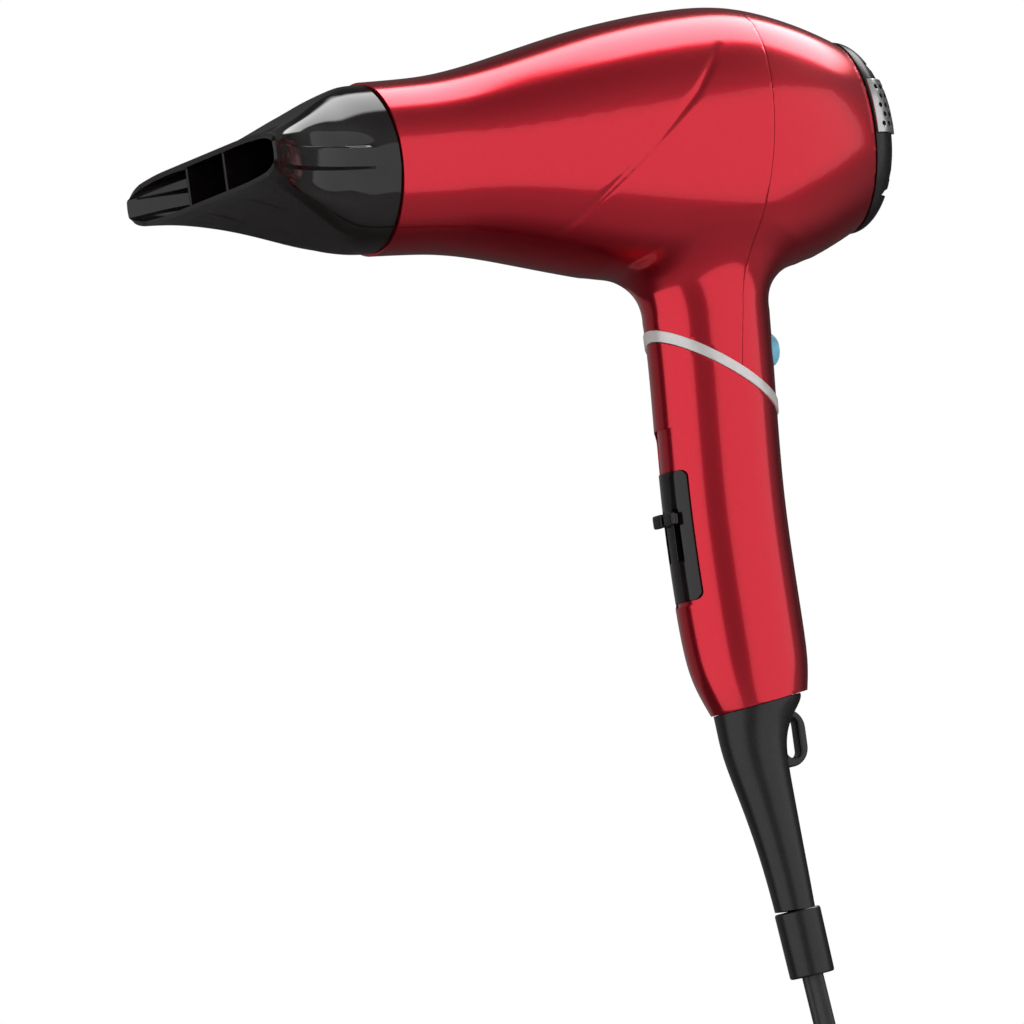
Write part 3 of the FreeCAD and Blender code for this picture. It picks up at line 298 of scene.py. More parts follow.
def tidy_rim(piece, point, normal, below_mm=None, reach=0.0004):
    """Merges the slivers that a cut leaves, then lays the rim flat on the cutting plane again."""
    edit(piece, everything=False)
    bpy.ops.mesh.select_mode(type="VERT")
    point, normal = Vector(point), Vector(normal).normalized()
    mesh = bmesh.from_edit_mesh(piece.data)
    for vertex in mesh.verts:
        low_enough = below_mm is None or vertex.co.z < below_mm * MM
        vertex.select_set(low_enough and abs((vertex.co - point).dot(normal)) < reach)
    mesh.select_flush_mode()
    bmesh.update_edit_mesh(piece.data)
    bpy.ops.mesh.remove_doubles(threshold=reach)
    mesh = bmesh.from_edit_mesh(piece.data)
    for vertex in mesh.verts:
        distance = (vertex.co - point).dot(normal)
        if vertex.select and abs(distance) < reach:
            vertex.co -= normal * distance
    bmesh.update_edit_mesh(piece.data)
    bpy.ops.object.mode_set(mode="OBJECT")
    return piece


def column(name, rings, along, sides=48):
    """A closed column grown from one circle; a ring is its centre and its half size each way."""
    centre, first, second = rings[0]
    turn = (0, math.pi / 2, 0) if along == "X" else (0, 0, 0)
    start_clean()
    bpy.ops.mesh.primitive_circle_add(vertices=sides, radius=1, fill_type="NGON", location=centre,
                                      rotation=turn)
    piece = named(name)
    edit(piece)
    scale = (1, first, second) if along == "X" else (first, second, 1)
    bpy.ops.transform.resize(value=scale, center_override=centre)
    for after, wide, high in rings[1:]:
        step = Vector(after) - Vector(centre)
        bpy.ops.mesh.extrude_region_move(TRANSFORM_OT_translate={"value": step})
        ratio = (wide / first, high / second)
        scale = (1, ratio[0], ratio[1]) if along == "X" else (ratio[0], ratio[1], 1)
        bpy.ops.transform.resize(value=scale, center_override=after)
        centre, first, second = after, wide, high
    bpy.ops.object.mode_set(mode="OBJECT")
    return outwards(piece)


def rounded_box(name, low, high, round_along, radius, segments=4):
    """A box whose edges along one axis are rounded."""
    low, high = Vector(low) * MM, Vector(high) * MM
    start_clean()
    bpy.ops.mesh.primitive_cube_add(size=1, location=(low + high) / 2, scale=high - low)
    piece = named(name)
    edit(piece, everything=False)
    bpy.ops.mesh.select_mode(type="EDGE")
    axis = "XYZ".index(round_along)
    mesh = bmesh.from_edit_mesh(piece.data)
    for edge in mesh.edges:
        way = (edge.verts[0].co - edge.verts[1].co).normalized()
        edge.select_set(abs(way[axis]) > 0.99)
    bmesh.update_edit_mesh(piece.data)
    bpy.ops.mesh.bevel(offset=radius * MM, segments=segments, affect="EDGES")
    bpy.ops.object.mode_set(mode="OBJECT")
    return piece


# %% [markdown]
# ## Finishes
# A moulded or lacquered surface is never one flat colour. Each finish starts with the numbers that are the
# same all over, set on the shader itself, and then gets what changes across it: a slow drift of colour, a
# grain in the gloss and a fine bump, all laid out in the piece's own space in real millimetres.

# %% Building blocks of a finish


def new_finish(name, colour, gloss, metal=0.0, **numbers):
    """A material with its even values set; gloss is its roughness."""
    material = bpy.data.materials.new(name)
    material.use_nodes = True
    shader = material.node_tree.nodes["Principled BSDF"]
    shader.inputs["Base Color"].default_value = (*colour, 1)
    shader.inputs["Roughness"].default_value = gloss
    shader.inputs["Metallic"].default_value = metal
    for key, value in numbers.items():
        shader.inputs[key.replace("_", " ")].default_value = value
    return material


def noise_of(material, size_mm, stretch=(1, 1, 1), detail=3.0):
    """Noise whose grains are about size_mm across, in the piece's own space."""
    nodes, links = material.node_tree.nodes, material.node_tree.links
    place = nodes.new("ShaderNodeTexCoord")
    mapping = nodes.new("ShaderNodeMapping")
    mapping.inputs["Scale"].default_value = stretch
    noise = nodes.new("ShaderNodeTexNoise")
    noise.inputs["Scale"].default_value = 1 / (size_mm * MM)
    noise.inputs["Detail"].default_value = detail
    links.new(place.outputs["Object"], mapping.inputs["Vector"])
    links.new(mapping.outputs["Vector"], noise.inputs["Vector"])
    return noise


def drift_colour(material, first, second, size_mm, stretch=(1, 1, 1)):
    """Lets the colour wander between two close tones."""
    nodes, links = material.node_tree.nodes, material.node_tree.links
    noise = noise_of(material, size_mm, stretch)
    ramp = nodes.new("ShaderNodeValToRGB")
    ramp.color_ramp.elements[0].position = 0.3
    ramp.color_ramp.elements[0].color = (*first, 1)
    ramp.color_ramp.elements[1].position = 0.7
    ramp.color_ramp.elements[1].color = (*second, 1)
    links.new(noise.outputs["Fac"], ramp.inputs["Fac"])
    links.new(ramp.outputs["Color"], nodes["Principled BSDF"].inputs["Base Color"])
    return material


def drift_gloss(material, low, high, size_mm, stretch=(1, 1, 1)):
    """Lets the roughness wander, as handling and moulding leave it."""
    nodes, links = material.node_tree.nodes, material.node_tree.links
    noise = noise_of(material, size_mm, stretch)
    spread = nodes.new("ShaderNodeMapRange")
    spread.inputs["From Min"].default_value = 0.3
    spread.inputs["From Max"].default_value = 0.7
    spread.inputs["To Min"].default_value = low
    spread.inputs["To Max"].default_value = high
    links.new(noise.outputs["Fac"], spread.inputs["Value"])
    links.new(spread.outputs["Result"], nodes["Principled BSDF"].inputs["Roughness"])
    return material


def fine_bump(material, size_mm, height_mm, strength=0.5, stretch=(1, 1, 1)):
    """A grain that stands height_mm high at most."""
    nodes, links = material.node_tree.nodes, material.node_tree.links
    noise = noise_of(material, size_mm, stretch)
    bump = nodes.new("ShaderNodeBump")
    bump.inputs["Strength"].default_value = strength
    bump.inputs["Distance"].default_value = height_mm * MM
    links.new(noise.outputs["Fac"], bump.inputs["Height"])
    links.new(bump.outputs["Normal"], nodes["Principled BSDF"].inputs["Normal"])
    return material


# %% [markdown]
# ### Red lacquer
# The shell is sprayed with bright metal flake, a transparent red and a hard clear coat. A metallic base
# tints every reflection red, and the coat lays a thin white one on top, which turns pink where it is bright.

# %% Lacquer and metals


def lacquer_finish():
    material = new_finish("red_lacquer", (0.67, 0.01, 0.03), 0.2, metal=0.92,
                          Coat_Weight=0.6, Coat_Roughness=0.03)
    drift_colour(material, (0.64, 0.009, 0.026), (0.70, 0.012, 0.034), 0.6)
    drift_gloss(material, 0.16, 0.24, 0.35)
    return material


def silver_band_finish():
    material = new_finish("silver_band", (0.8, 0.78, 0.77), 0.32, metal=0.35)
    drift_colour(material, (0.78, 0.76, 0.75), (0.84, 0.82, 0.81), 3.0)
    drift_gloss(material, 0.28, 0.36, 0.8)
    return fine_bump(material, 0.25, 0.004)


def bright_steel_finish():
    material = new_finish("bright_steel", (0.62, 0.61, 0.59), 0.28, metal=1.0)
    drift_gloss(material, 0.2, 0.4, 1.0, stretch=(1, 1, 8))
    return fine_bump(material, 0.3, 0.02, stretch=(1, 1, 8))


def bronze_finish():
    material = new_finish("bronze", (0.55, 0.33, 0.15), 0.4, metal=1.0)
    drift_colour(material, (0.5, 0.29, 0.13), (0.6, 0.38, 0.19), 0.8)
    return fine_bump(material, 0.12, 0.02)


def blade_brass_finish():
    material = new_finish("blade_brass", (0.75, 0.66, 0.46), 0.25, metal=1.0)
    drift_gloss(material, 0.2, 0.38, 0.7, stretch=(8, 1, 1))
    return fine_bump(material, 0.25, 0.015, stretch=(10, 1, 1))


def heater_wire_finish():
    material = new_finish("heater_wire", (0.32, 0.3, 0.29), 0.5, metal=0.9)
    drift_colour(material, (0.24, 0.22, 0.24), (0.42, 0.36, 0.3), 4.0)
    return fine_bump(material, 0.2, 0.02)


# %% [markdown]
# ### Moulded plastics
# Polished black plastic is nearly mirror smooth with a trace of orange peel. Satin black has a spark-eroded
# grain, so its highlights go soft and grey. The lead's skin is softer still.

# %% Plastics


def black_gloss_finish():
    material = new_finish("black_gloss", (0.007, 0.005, 0.005), 0.07, IOR=1.5)
    drift_colour(material, (0.006, 0.004, 0.004), (0.009, 0.006, 0.006), 5.0)
    drift_gloss(material, 0.05, 0.1, 1.5)
    return fine_bump(material, 6.0, 0.03, strength=0.15)


def black_satin_finish():
    material = new_finish("black_satin", (0.009, 0.007, 0.007), 0.3)
    drift_colour(material, (0.008, 0.006, 0.006), (0.012, 0.009, 0.009), 3.0)
    drift_gloss(material, 0.26, 0.34, 0.6)
    return fine_bump(material, 0.35, 0.03)


def lead_skin_finish():
    material = new_finish("lead_skin", (0.02, 0.018, 0.018), 0.38)
    drift_colour(material, (0.016, 0.015, 0.015), (0.028, 0.025, 0.025), 6.0)
    drift_gloss(material, 0.3, 0.44, 1.2)
    return fine_bump(material, 0.4, 0.03)


def plug_case_finish():
    material = new_finish("plug_case", (0.018, 0.017, 0.017), 0.4)
    drift_colour(material, (0.015, 0.014, 0.014), (0.026, 0.024, 0.024), 4.0)
    drift_gloss(material, 0.34, 0.5, 0.8)
    return fine_bump(material, 0.5, 0.05)


def coloured_plastic(name, colour, gloss, grain_mm):
    """A moulded part of one colour, with its slight mottling and grain."""
    material = new_finish(name, colour, gloss)
    darker = tuple(0.88 * c for c in colour)
    lighter = tuple(min(1.0, 1.1 * c) for c in colour)
    drift_colour(material, darker, lighter, 2.5)
    drift_gloss(material, gloss * 0.85, gloss * 1.2, 0.7)
    return fine_bump(material, grain_mm, 0.02)


def mica_finish():
    material = new_finish("mica", (0.62, 0.52, 0.34), 0.3, Coat_Weight=0.4)
    drift_colour(material, (0.5, 0.4, 0.24), (0.72, 0.62, 0.44), 3.5)
    drift_gloss(material, 0.2, 0.5, 1.5)
    return fine_bump(material, 1.2, 0.06)


def screen_finish():
    """Woven lint mesh: two crossed sets of wires as a bump and a change of tone."""
    material = new_finish("screen", (0.05, 0.05, 0.052), 0.5, metal=0.4)
    nodes, links = material.node_tree.nodes, material.node_tree.links
    place = nodes.new("ShaderNodeTexCoord")
    bump = nodes.new("ShaderNodeBump")
    bump.inputs["Distance"].default_value = 0.2 * MM
    add = nodes.new("ShaderNodeMath")
    add.operation = "ADD"
    for index, axis in enumerate("YZ"):
        wave = nodes.new("ShaderNodeTexWave")
        wave.bands_direction = axis
        wave.inputs["Scale"].default_value = 300
        links.new(place.outputs["Object"], wave.inputs["Vector"])
        links.new(wave.outputs["Fac"], add.inputs[index])
    ramp = nodes.new("ShaderNodeValToRGB")
    ramp.color_ramp.elements[0].color = (0.01, 0.01, 0.01, 1)
    ramp.color_ramp.elements[1].color = (0.12, 0.12, 0.12, 1)
    links.new(add.outputs[0], bump.inputs["Height"])
    links.new(add.outputs[0], ramp.inputs["Fac"])
    links.new(ramp.outputs["Color"], nodes["Principled BSDF"].inputs["Base Color"])
    links.new(bump.outputs["Normal"], nodes["Principled BSDF"].inputs["Normal"])
    return material


# colour, roughness, width of the grain in mm
PLAIN_PLASTICS = {
    "sky_blue": ((0.22, 0.68, 0.95), 0.25, 0.5),
    "ferrite": ((0.06, 0.06, 0.065), 0.55, 0.3),
    "carbon": ((0.03, 0.03, 0.032), 0.6, 0.3),
    "grey_plastic": ((0.24, 0.24, 0.25), 0.45, 0.5),
    "gasket": ((0.035, 0.035, 0.037), 0.7, 0.6),
    "sensor": ((0.42, 0.41, 0.38), 0.45, 0.5),
    "fuse": ((0.62, 0.6, 0.55), 0.35, 0.5),
    "board": ((0.35, 0.22, 0.1), 0.5, 0.4),
    "switch_body": ((0.07, 0.07, 0.075), 0.5, 0.5),
    "wire_skin": ((0.75, 0.74, 0.7), 0.5, 0.5),
    "tie": ((0.03, 0.03, 0.032), 0.7, 0.3),
    "test_cap": ((0.05, 0.05, 0.052), 0.4, 0.5),
    "reset_cap": ((0.5, 0.05, 0.05), 0.4, 0.5),
    "coil_core": ((0.3, 0.18, 0.08), 0.5, 0.5),
}
FINISHES = {
    "red_lacquer": lacquer_finish(),
    "silver_band": silver_band_finish(),
    "black_gloss": black_gloss_finish(),
    "black_satin": black_satin_finish(),
    "silver_insert": new_finish("silver_insert", (0.6, 0.6, 0.6), 0.2, metal=0.9),
    "screen": screen_finish(),
    "mica": mica_finish(),
    "heater_wire": heater_wire_finish(),
    "bright_steel": bright_steel_finish(),
    "bronze": bronze_finish(),
    "lead_skin": lead_skin_finish(),
    "plug_case": plug_case_finish(),
    "blade_brass": blade_brass_finish(),
}
for name, (colour, gloss, grain_mm) in PLAIN_PLASTICS.items():
    FINISHES[name] = coloured_plastic(name, colour, gloss, grain_mm)
drift_gloss(FINISHES["silver_insert"], 0.16, 0.3, 0.8)
fine_bump(FINISHES["silver_insert"], 0.3, 0.01)
print(len(FINISHES), "finishes")

# %% Finishes for the kept nodes
slot_of_node = {row["node"]: row["material_slot"] for row in frame["record"]["subparts"]}


def coat(piece, slot):
    """Gives a piece one finish all over."""
    piece.data.materials.clear()
    piece.data.materials.append(FINISHES[slot])
    return piece


for node, node_object in frame["nodes"].items():
    coat(node_object, slot_of_node[node])
print(len(slot_of_node), "kept nodes coated")


def place_piece(piece, body, slot, *replaced):
    """Coats a finished piece with its slot's finish, ties it to its body and hides the nodes it stands for.
    """
    coat(piece, slot)
    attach(piece, body)
    if replaced:
        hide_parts(*replaced)
    triangles = sum(len(face.vertices) - 2 for face in piece.data.polygons)
    print(piece.name, triangles, "triangles")
    return piece


# %% [markdown]
# ## The mains lead
# A dryer has a flat twin lead: two round cores side by side in one skin, seven millimetres wide. It leaves
# the collar under the handle and hangs. The rest is put away as a hank of long folds drawn in by a tie,
# in line with the handle, with the plug hanging below. Its middle line is one smooth NURBS curve through
# listed points, and the folds are more points of the same curve. A round bevel can't give a twin
# lead, so the skin is a tube of rings that follow that line.

# %% The line of the lead
LEAD_RUN = [(8.5, 0.0, -144.6), (10.4, 0.3, -159.0), (12.0, 0.0, -173.5), (12.8, -0.4, -188.0)]
INTO_HANK = [(13.0, 0.0, -214.0), (13.0, 2.6, -242.0)]
OUT_OF_HANK = [(-24.0, 5.2, -284.0), (-24.0, 1.6, -312.0)]
LEAD_TAIL = [(-24.0, 0.4, -336.3), (-22.6, 0.0, -346.0), (-19.4, -0.4, -356.0), (-16.6, 0.0, -366.0)]
HANK_Z, FOLD_RISE, FOLD_RADIUS, WAIST_SIDE, LAYER_STEP = -262.0, 52.0, 22.0, 7.25, 7.4
FIRST_LAYER_X, FOLDED_LOOPS = 13.0, 5


def lower_fold(x):
    """Down the near side of one layer, round the bottom and up the far side to the waist."""
    points = [(x, WAIST_SIDE, HANK_Z - 7)]
    for step in range(7):
        angle = math.radians(15 - 35 * step)
        points.append((x, FOLD_RADIUS * math.cos(angle), HANK_Z - FOLD_RISE + FOLD_RADIUS * math.sin(angle)))
    points.append((x, -WAIST_SIDE, HANK_Z - 7))
    return points


def upper_fold(x):
    """Up the far side, over the top and down the near side, stepping to the next layer on the way up."""
    points = [(x, -WAIST_SIDE, HANK_Z + 7)]
    for step, stepped in enumerate((0.1, 0.45, 0.8, 1.0, 1.0, 1.0, 1.0)):
        angle = math.radians(195 - 35 * step)
        points.append((x - stepped * LAYER_STEP, FOLD_RADIUS * math.cos(angle),
                       HANK_Z + FOLD_RISE + FOLD_RADIUS * math.sin(angle)))
    points.append((x - LAYER_STEP, WAIST_SIDE, HANK_Z + 7))
    return points


route = LEAD_RUN + INTO_HANK + [(FIRST_LAYER_X, WAIST_SIDE - 1, HANK_Z + 5)]
for layer in range(FOLDED_LOOPS):
    layer_x = FIRST_LAYER_X - layer * LAYER_STEP
    route += lower_fold(layer_x) + upper_fold(layer_x)
route += [(FIRST_LAYER_X - FOLDED_LOOPS * LAYER_STEP, WAIST_SIDE, HANK_Z - 7)] + OUT_OF_HANK + LEAD_TAIL
print(len(route), "points on the lead's line")

# %% A smooth line read back as points


def smooth_line(name, points):
    """One NURBS curve of order 3 with these control points, in millimetres, read back as a path."""
    curve = bpy.data.curves.new(name, "CURVE")
    curve.dimensions = "3D"
    curve.resolution_u = 8
    spline = curve.splines.new("NURBS")
    spline.points.add(len(points) - 1)
    for point, place in zip(spline.points, points):
        point.co = (*(Vector(place) * MM), 1)
    spline.order_u = 3
    spline.use_endpoint_u = True
    holder = bpy.data.objects.new(name, curve)
    bpy.context.scene.collection.objects.link(holder)
    bpy.context.view_layer.update()
    line = bpy.data.meshes.new_from_object(holder)
    path = [vertex.co.copy() for vertex in line.vertices]
    discard(holder)
    bpy.data.meshes.remove(line)
    return path


lead_path = smooth_line("lead_line", route)
lead_length = sum((b - a).length for a, b in zip(lead_path, lead_path[1:]))
print("lead length", round(lead_length, 3), "m from", len(lead_path), "places")

# %% The twin skin round that line
LEAD_CORE = 1.75 * MM


def twin_outline(per_core=9):
    """A figure of eight lying on its side: two round cores that just touch."""
    outline = []
    for side in (1, -1):
        for step in range(per_core):
            angle = math.radians(-140 + 280 * step / (per_core - 1)) + (0 if side > 0 else math.pi)
            outline.append((side * LEAD_CORE + LEAD_CORE * math.cos(angle), LEAD_CORE * math.sin(angle)))
    return outline


def follow(name, path, outline, wide_way=Vector((1, 0, 0))):
    """A closed tube of one outline along a path, with its wide side kept along wide_way."""
    mesh = bmesh.new()
    rings = []
    for index, spot in enumerate(path):
        before, after = path[max(index - 1, 0)], path[min(index + 1, len(path) - 1)]
        ahead = (after - before).normalized()
        across = (wide_way - ahead * wide_way.dot(ahead)).normalized()
        through = ahead.cross(across)
        rings.append([mesh.verts.new(spot + across * u + through * v) for u, v in outline])
    count = len(outline)
    for ring, following in zip(rings, rings[1:]):
        for k in range(count):
            mesh.faces.new((ring[k], ring[(k + 1) % count], following[(k + 1) % count], following[k]))
    mesh.faces.new(list(reversed(rings[0])))
    mesh.faces.new(rings[-1])
    bmesh.ops.recalc_face_normals(mesh, faces=mesh.faces)
    data = bpy.data.meshes.new(name)
    mesh.to_mesh(data)
    mesh.free()
    tube = bpy.data.objects.new(name, data)
    bpy.context.scene.collection.objects.link(tube)
    return tube


mains_lead = smooth(follow("mains_lead", lead_path, twin_outline()), 60)
place_piece(mains_lead, "case", "lead_skin", "lead_run", "lead_hank", "lead_tail")

# %% [markdown]
# ## The lacquered shell
# Barrel and handle are one flowing shape. Each is grown as a column of oval rings from the same cross
# sections as the engineering model, the two are merged into one skin, and the skin is relaxed where they
# meet, as a stylist's clay would be. Planes then cut it into the front shell, the rear shell and so on.

# %% Columns for barrel and handle
BARREL = [
    (-125.0, 25.8, 25.8), (-105.0, 25.8, 25.8), (-94.0, 26.1, 26.0), (-82.5, 26.5, 26.2), (-69.0, 28.8, 27.9),
    (-55.0, 32.2, 30.1), (-41.5, 35.5, 31.9), (-28.0, 38.5, 33.4), (-8.0, 41.5, 34.6), (12.6, 43.0, 34.8),
    (26.0, 41.3, 33.2), (40.0, 37.0, 29.6), (50.0, 32.8, 25.9), (57.0, 29.4, 22.9), (66.0, 24.4, 18.4),
]
HANDLE = [
    (94.0, 2.4, 36.0, 25.5), (80.0, 2.8, 28.2, 20.8), (71.5, 3.1, 23.2, 18.0), (64.0, 3.2, 20.9, 16.3),
    (54.0, 3.1, 20.1, 15.7), (42.0, 2.7, 19.9, 15.5), (21.0, 1.2, 19.7, 15.4), (0.0, 0.0, 19.6, 15.3),
    (-18.0, 0.0, 19.6, 15.3), (-36.5, 0.4, 19.6, 15.3), (-48.5, 1.0, 19.2, 15.0), (-56.0, 1.6, 17.9, 13.9),
    (-66.0, 2.8, 14.6, 11.4), (-74.0, 4.0, 11.6, 9.0),
]


def barrel_column(name):
    rings = [((x * MM, 0, AXIS_Z), wide * MM, high * MM) for x, high, wide in BARREL]
    return apply_modifier(column(name, rings, "X"), "SUBSURF", levels=2, render_levels=2)


def handle_column(name, grow=0.0, rows=HANDLE, levels=2):
    """The handle's column, grown or shrunk all round by so many millimetres."""
    rings = [((x * MM, 0, z * MM), (deep + grow) * MM, (wide + grow) * MM) for z, x, deep, wide in rows]
    return apply_modifier(column(name, rings, "Z"), "SUBSURF", levels=levels, render_levels=levels)


body_blank = join(barrel_column("body_blank"), handle_column("handle_blank"))
apply_modifier(body_blank, "REMESH", mode="VOXEL", voxel_size=1.02 * MM)
apply_modifier(body_blank, "SMOOTH", factor=0.5, iterations=12)
print("body blank", len(body_blank.data.polygons), "faces")

# %% Relax the neck
for reach, top, repeat in ((1.0, 84, 80), (0.86, 80, 120), (0.72, 77, 160)):
    edit(body_blank, everything=False)
    bpy.ops.mesh.select_mode(type="VERT")
    neck = bmesh.from_edit_mesh(body_blank.data)
    for vertex in neck.verts:
        x, y, z = vertex.co / MM
        across = ((x - 3) / (38 * reach)) ** 2 + (y / (32 * reach)) ** 2
        vertex.select_set(56 < z < top and across < 1)
    neck.select_flush_mode()
    bmesh.update_edit_mesh(body_blank.data)
    bpy.ops.mesh.vertices_smooth(factor=0.5, repeat=repeat)
    bpy.ops.object.mode_set(mode="OBJECT")

# %% [markdown]
# A soft groove sweeps down each flank of the front shell. It is pressed into the skin by moving each
# vertex near its line inwards, most at the line and fading at its lower end.

# %% The swept groove
SWEEP = [(6.3, 134.8), (-7.5, 119.3), (-27.0, 102.3), (-54.5, 80.0)]
SWEEP_HALF_WIDTH, SWEEP_DEPTH = 1.5, 0.42


def place_on_sweep(x, z):
    """Distance from the line of the sweep in side view, and how far along it, from 0 to 1."""
    best = (1e9, 0.0)
    count = len(SWEEP) - 1
    for index in range(count):
        start, end = Vector(SWEEP[index]), Vector(SWEEP[index + 1])
        along = (Vector((x, z)) - start).dot(end - start) / (end - start).length_squared
        held = min(max(along, 0.0), 1.0)
        gap = (Vector((x, z)) - start.lerp(end, held)).length
        best = min(best, (gap, (index + held) / count))
    return best


def near_sweep(vertex, reach):
    """Distance from the line and place along it, for a vertex within reach of it."""
    x, y, z = vertex.co / MM
    if not (-62 < x < 14 and 72 < z < 143):
        return None
    gap, along = place_on_sweep(x, z)
    return (gap, along) if gap < reach else None


edit(body_blank, everything=False)
bpy.ops.mesh.select_mode(type="VERT")
skin = bmesh.from_edit_mesh(body_blank.data)
for vertex in skin.verts:
    vertex.select_set(near_sweep(vertex, 2.6 * SWEEP_HALF_WIDTH) is not None)
skin.select_flush_mode()
bmesh.update_edit_mesh(body_blank.data)
bpy.ops.mesh.subdivide(number_cuts=1, smoothness=1.0)
bpy.ops.object.mode_set(mode="OBJECT")
pressed = 0
for vertex in body_blank.data.vertices:
    found = near_sweep(vertex, 2 * SWEEP_HALF_WIDTH)
    if found is not None:
        gap, along = found
        strength = math.exp(-2 * (gap / SWEEP_HALF_WIDTH) ** 2) * min(1.0, 6 * along, 8 * (1 - along))
        vertex.co -= vertex.normal * SWEEP_DEPTH * strength * MM
        pressed += 1
print("groove presses", pressed, "vertices")

# %% Front and rear shells
SEAM_POINT = Vector((16, 0, 107)) * MM
SEAM_WAY = Vector((math.cos(math.radians(9.5)), 0, -math.sin(math.radians(9.5))))
BAND_POINT = Vector((2.85, 0, 37.5)) * MM
BAND_WAY = Vector((math.sin(math.radians(33.2)), 0, math.cos(math.radians(33.2))))
SEAM_GAP, BAND_HALF = 0.09 * MM, 1.5 * MM
NECK_TOP = 60


def shell_from(blank, name, cuts, wall_mm, edge_mm=0.35):
    """Cuts a copy of a blank with planes, gives it a wall inwards and softens its edges."""
    piece = copy_of(blank, name)
    for point, normal, below_mm in cuts:
        slice_off(piece, point, normal, below_mm)
        tidy_rim(piece, point, normal, below_mm)
    apply_modifier(piece, "SOLIDIFY", thickness=wall_mm * MM, offset=-1)
    soften(piece, edge_mm, 2, 50)
    return smooth(piece)


above_band = (BAND_POINT + BAND_WAY * BAND_HALF, -BAND_WAY, NECK_TOP)
before_seam = (SEAM_POINT - SEAM_WAY * SEAM_GAP, SEAM_WAY, None)
behind_seam = (SEAM_POINT + SEAM_WAY * SEAM_GAP, -SEAM_WAY, None)
front_shell = shell_from(body_blank, "front_shell_skin",
                         [above_band, before_seam, ((RIM_X, 0, 0), (-1, 0, 0), None)], wall_mm=2.0)
place_piece(front_shell, "case", "red_lacquer", "front_shell")
rear_shell = shell_from(body_blank, "rear_shell_skin",
                        [above_band, behind_seam, ((STERN_X, 0, 0), (1, 0, 0), None)], wall_mm=2.0)
start_clean()
bpy.ops.mesh.primitive_cylinder_add(vertices=48, radius=5.3 * MM, depth=20 * MM,
                                    location=Vector((28, 0, 44)) * MM, rotation=(0, math.pi / 2, 0))
cut_with(rear_shell, named("button_drill"))
smooth(rear_shell)
place_piece(rear_shell, "case", "red_lacquer", "rear_shell")
discard(body_blank)

# %% [markdown]
# ## The grip
# The grip below the band is a plain oval tube with a shallow rounded recess down its front, and the black
# switch plate is let into the lower part of that recess. Both follow the handle's own curve, so the tools
# that cut them are the handle's column itself, shrunk by the depth of the cut.

# %% Grip with its recess
FOOT_POINT = Vector((2.4, 0, -62)) * MM
FOOT_WAY = Vector((-math.sin(math.radians(8.9)), 0, math.cos(math.radians(8.9))))
below_band = (BAND_POINT - BAND_WAY * BAND_HALF, BAND_WAY)
RECESS = {"half": 9.3, "top": 22.5, "foot": -31.0, "deep": 0.9}
PLATE = {"half": 8.0, "top": 9.5, "foot": -29.5, "wall": 1.9}
PLATE_GAP = 0.12


def front_window(name, half, top, foot, radius, near=-30.0, far=-6.0):
    """A block with rounded corners that reaches through the front of the handle."""
    return rounded_box(name, (near, -half, foot), (far, half, top), "X", radius)


handle_blank = handle_column("handle_blank", levels=3)
grip = copy_of(handle_blank, "grip_skin")
for point, normal in (below_band, (FOOT_POINT, -FOOT_WAY)):
    slice_off(grip, point, normal)
apply_modifier(grip, "SOLIDIFY", thickness=2.2 * MM, offset=-1)
recess_tool = front_window("recess_tool", RECESS["half"], RECESS["top"], RECESS["foot"], 3.4)
cut_with(recess_tool, handle_column("recess_floor", -RECESS["deep"], levels=3))
cut_with(grip, recess_tool)
plate_hole = front_window("plate_hole", PLATE["half"] + PLATE_GAP, PLATE["top"] + PLATE_GAP,
                          PLATE["foot"] - PLATE_GAP, 2.2)
cut_with(grip, plate_hole)
soften(grip, 0.4, 3, 45)
smooth(grip)
place_piece(grip, "case", "red_lacquer", "grip_sleeve")

# %% Switch plate
SLOT_SIDE, SLOT_HALF, SLOT_TOP, SLOT_FOOT = 3.4, 1.3, -1.8, -17.6
switch_plate = handle_column("switch_plate_skin", -0.25, levels=3)
cut_with(switch_plate, front_window("plate_edge", PLATE["half"], PLATE["top"], PLATE["foot"], 2.1),
         keep_inside=True)
cut_with(switch_plate, handle_column("plate_back", -PLATE["wall"], levels=3))
for side in (-1, 1):
    middle = side * SLOT_SIDE
    low, high = (-30, middle - SLOT_HALF, SLOT_FOOT), (-6, middle + SLOT_HALF, SLOT_TOP)
    cut_with(switch_plate, rounded_box("slot", low, high, "X", 0.6, 2))
soften(switch_plate, 0.3, 2, 45)
smooth(switch_plate)
place_piece(switch_plate, "case", "black_gloss", "switch_plate")

# %% [markdown]
# ## The silver band
# A satin silver ring runs round the handle on a slant and stands just proud of the lacquer on both sides.
# It is a slice of the handle's column grown by the amount it stands proud.

# %% Band
trim_band = handle_column("band_skin", 0.45, levels=3)
slice_off(trim_band, BAND_POINT + BAND_WAY * (BAND_HALF - 0.04 * MM), BAND_WAY)
slice_off(trim_band, BAND_POINT - BAND_WAY * (BAND_HALF - 0.04 * MM), -BAND_WAY)
apply_modifier(trim_band, "SOLIDIFY", thickness=2.4 * MM, offset=-1)
soften(trim_band, 0.4, 3, 45)
smooth(trim_band)
place_piece(trim_band, "case", "silver_band", "trim_band")
discard(handle_blank)

# %% [markdown]
# ## The air nozzle
# The nozzle squeezes a round duct into a wide flat slot. Two flat faces close in from above and below, and
# each flank carries a flat rib between two leaf-shaped hollows that run out to a point near the rim. The
# cage is grown ring by ring with its lines laid along the rib and along the edges of the flat faces, those
# edges are creased, and a subdivision surface makes the rest smooth.

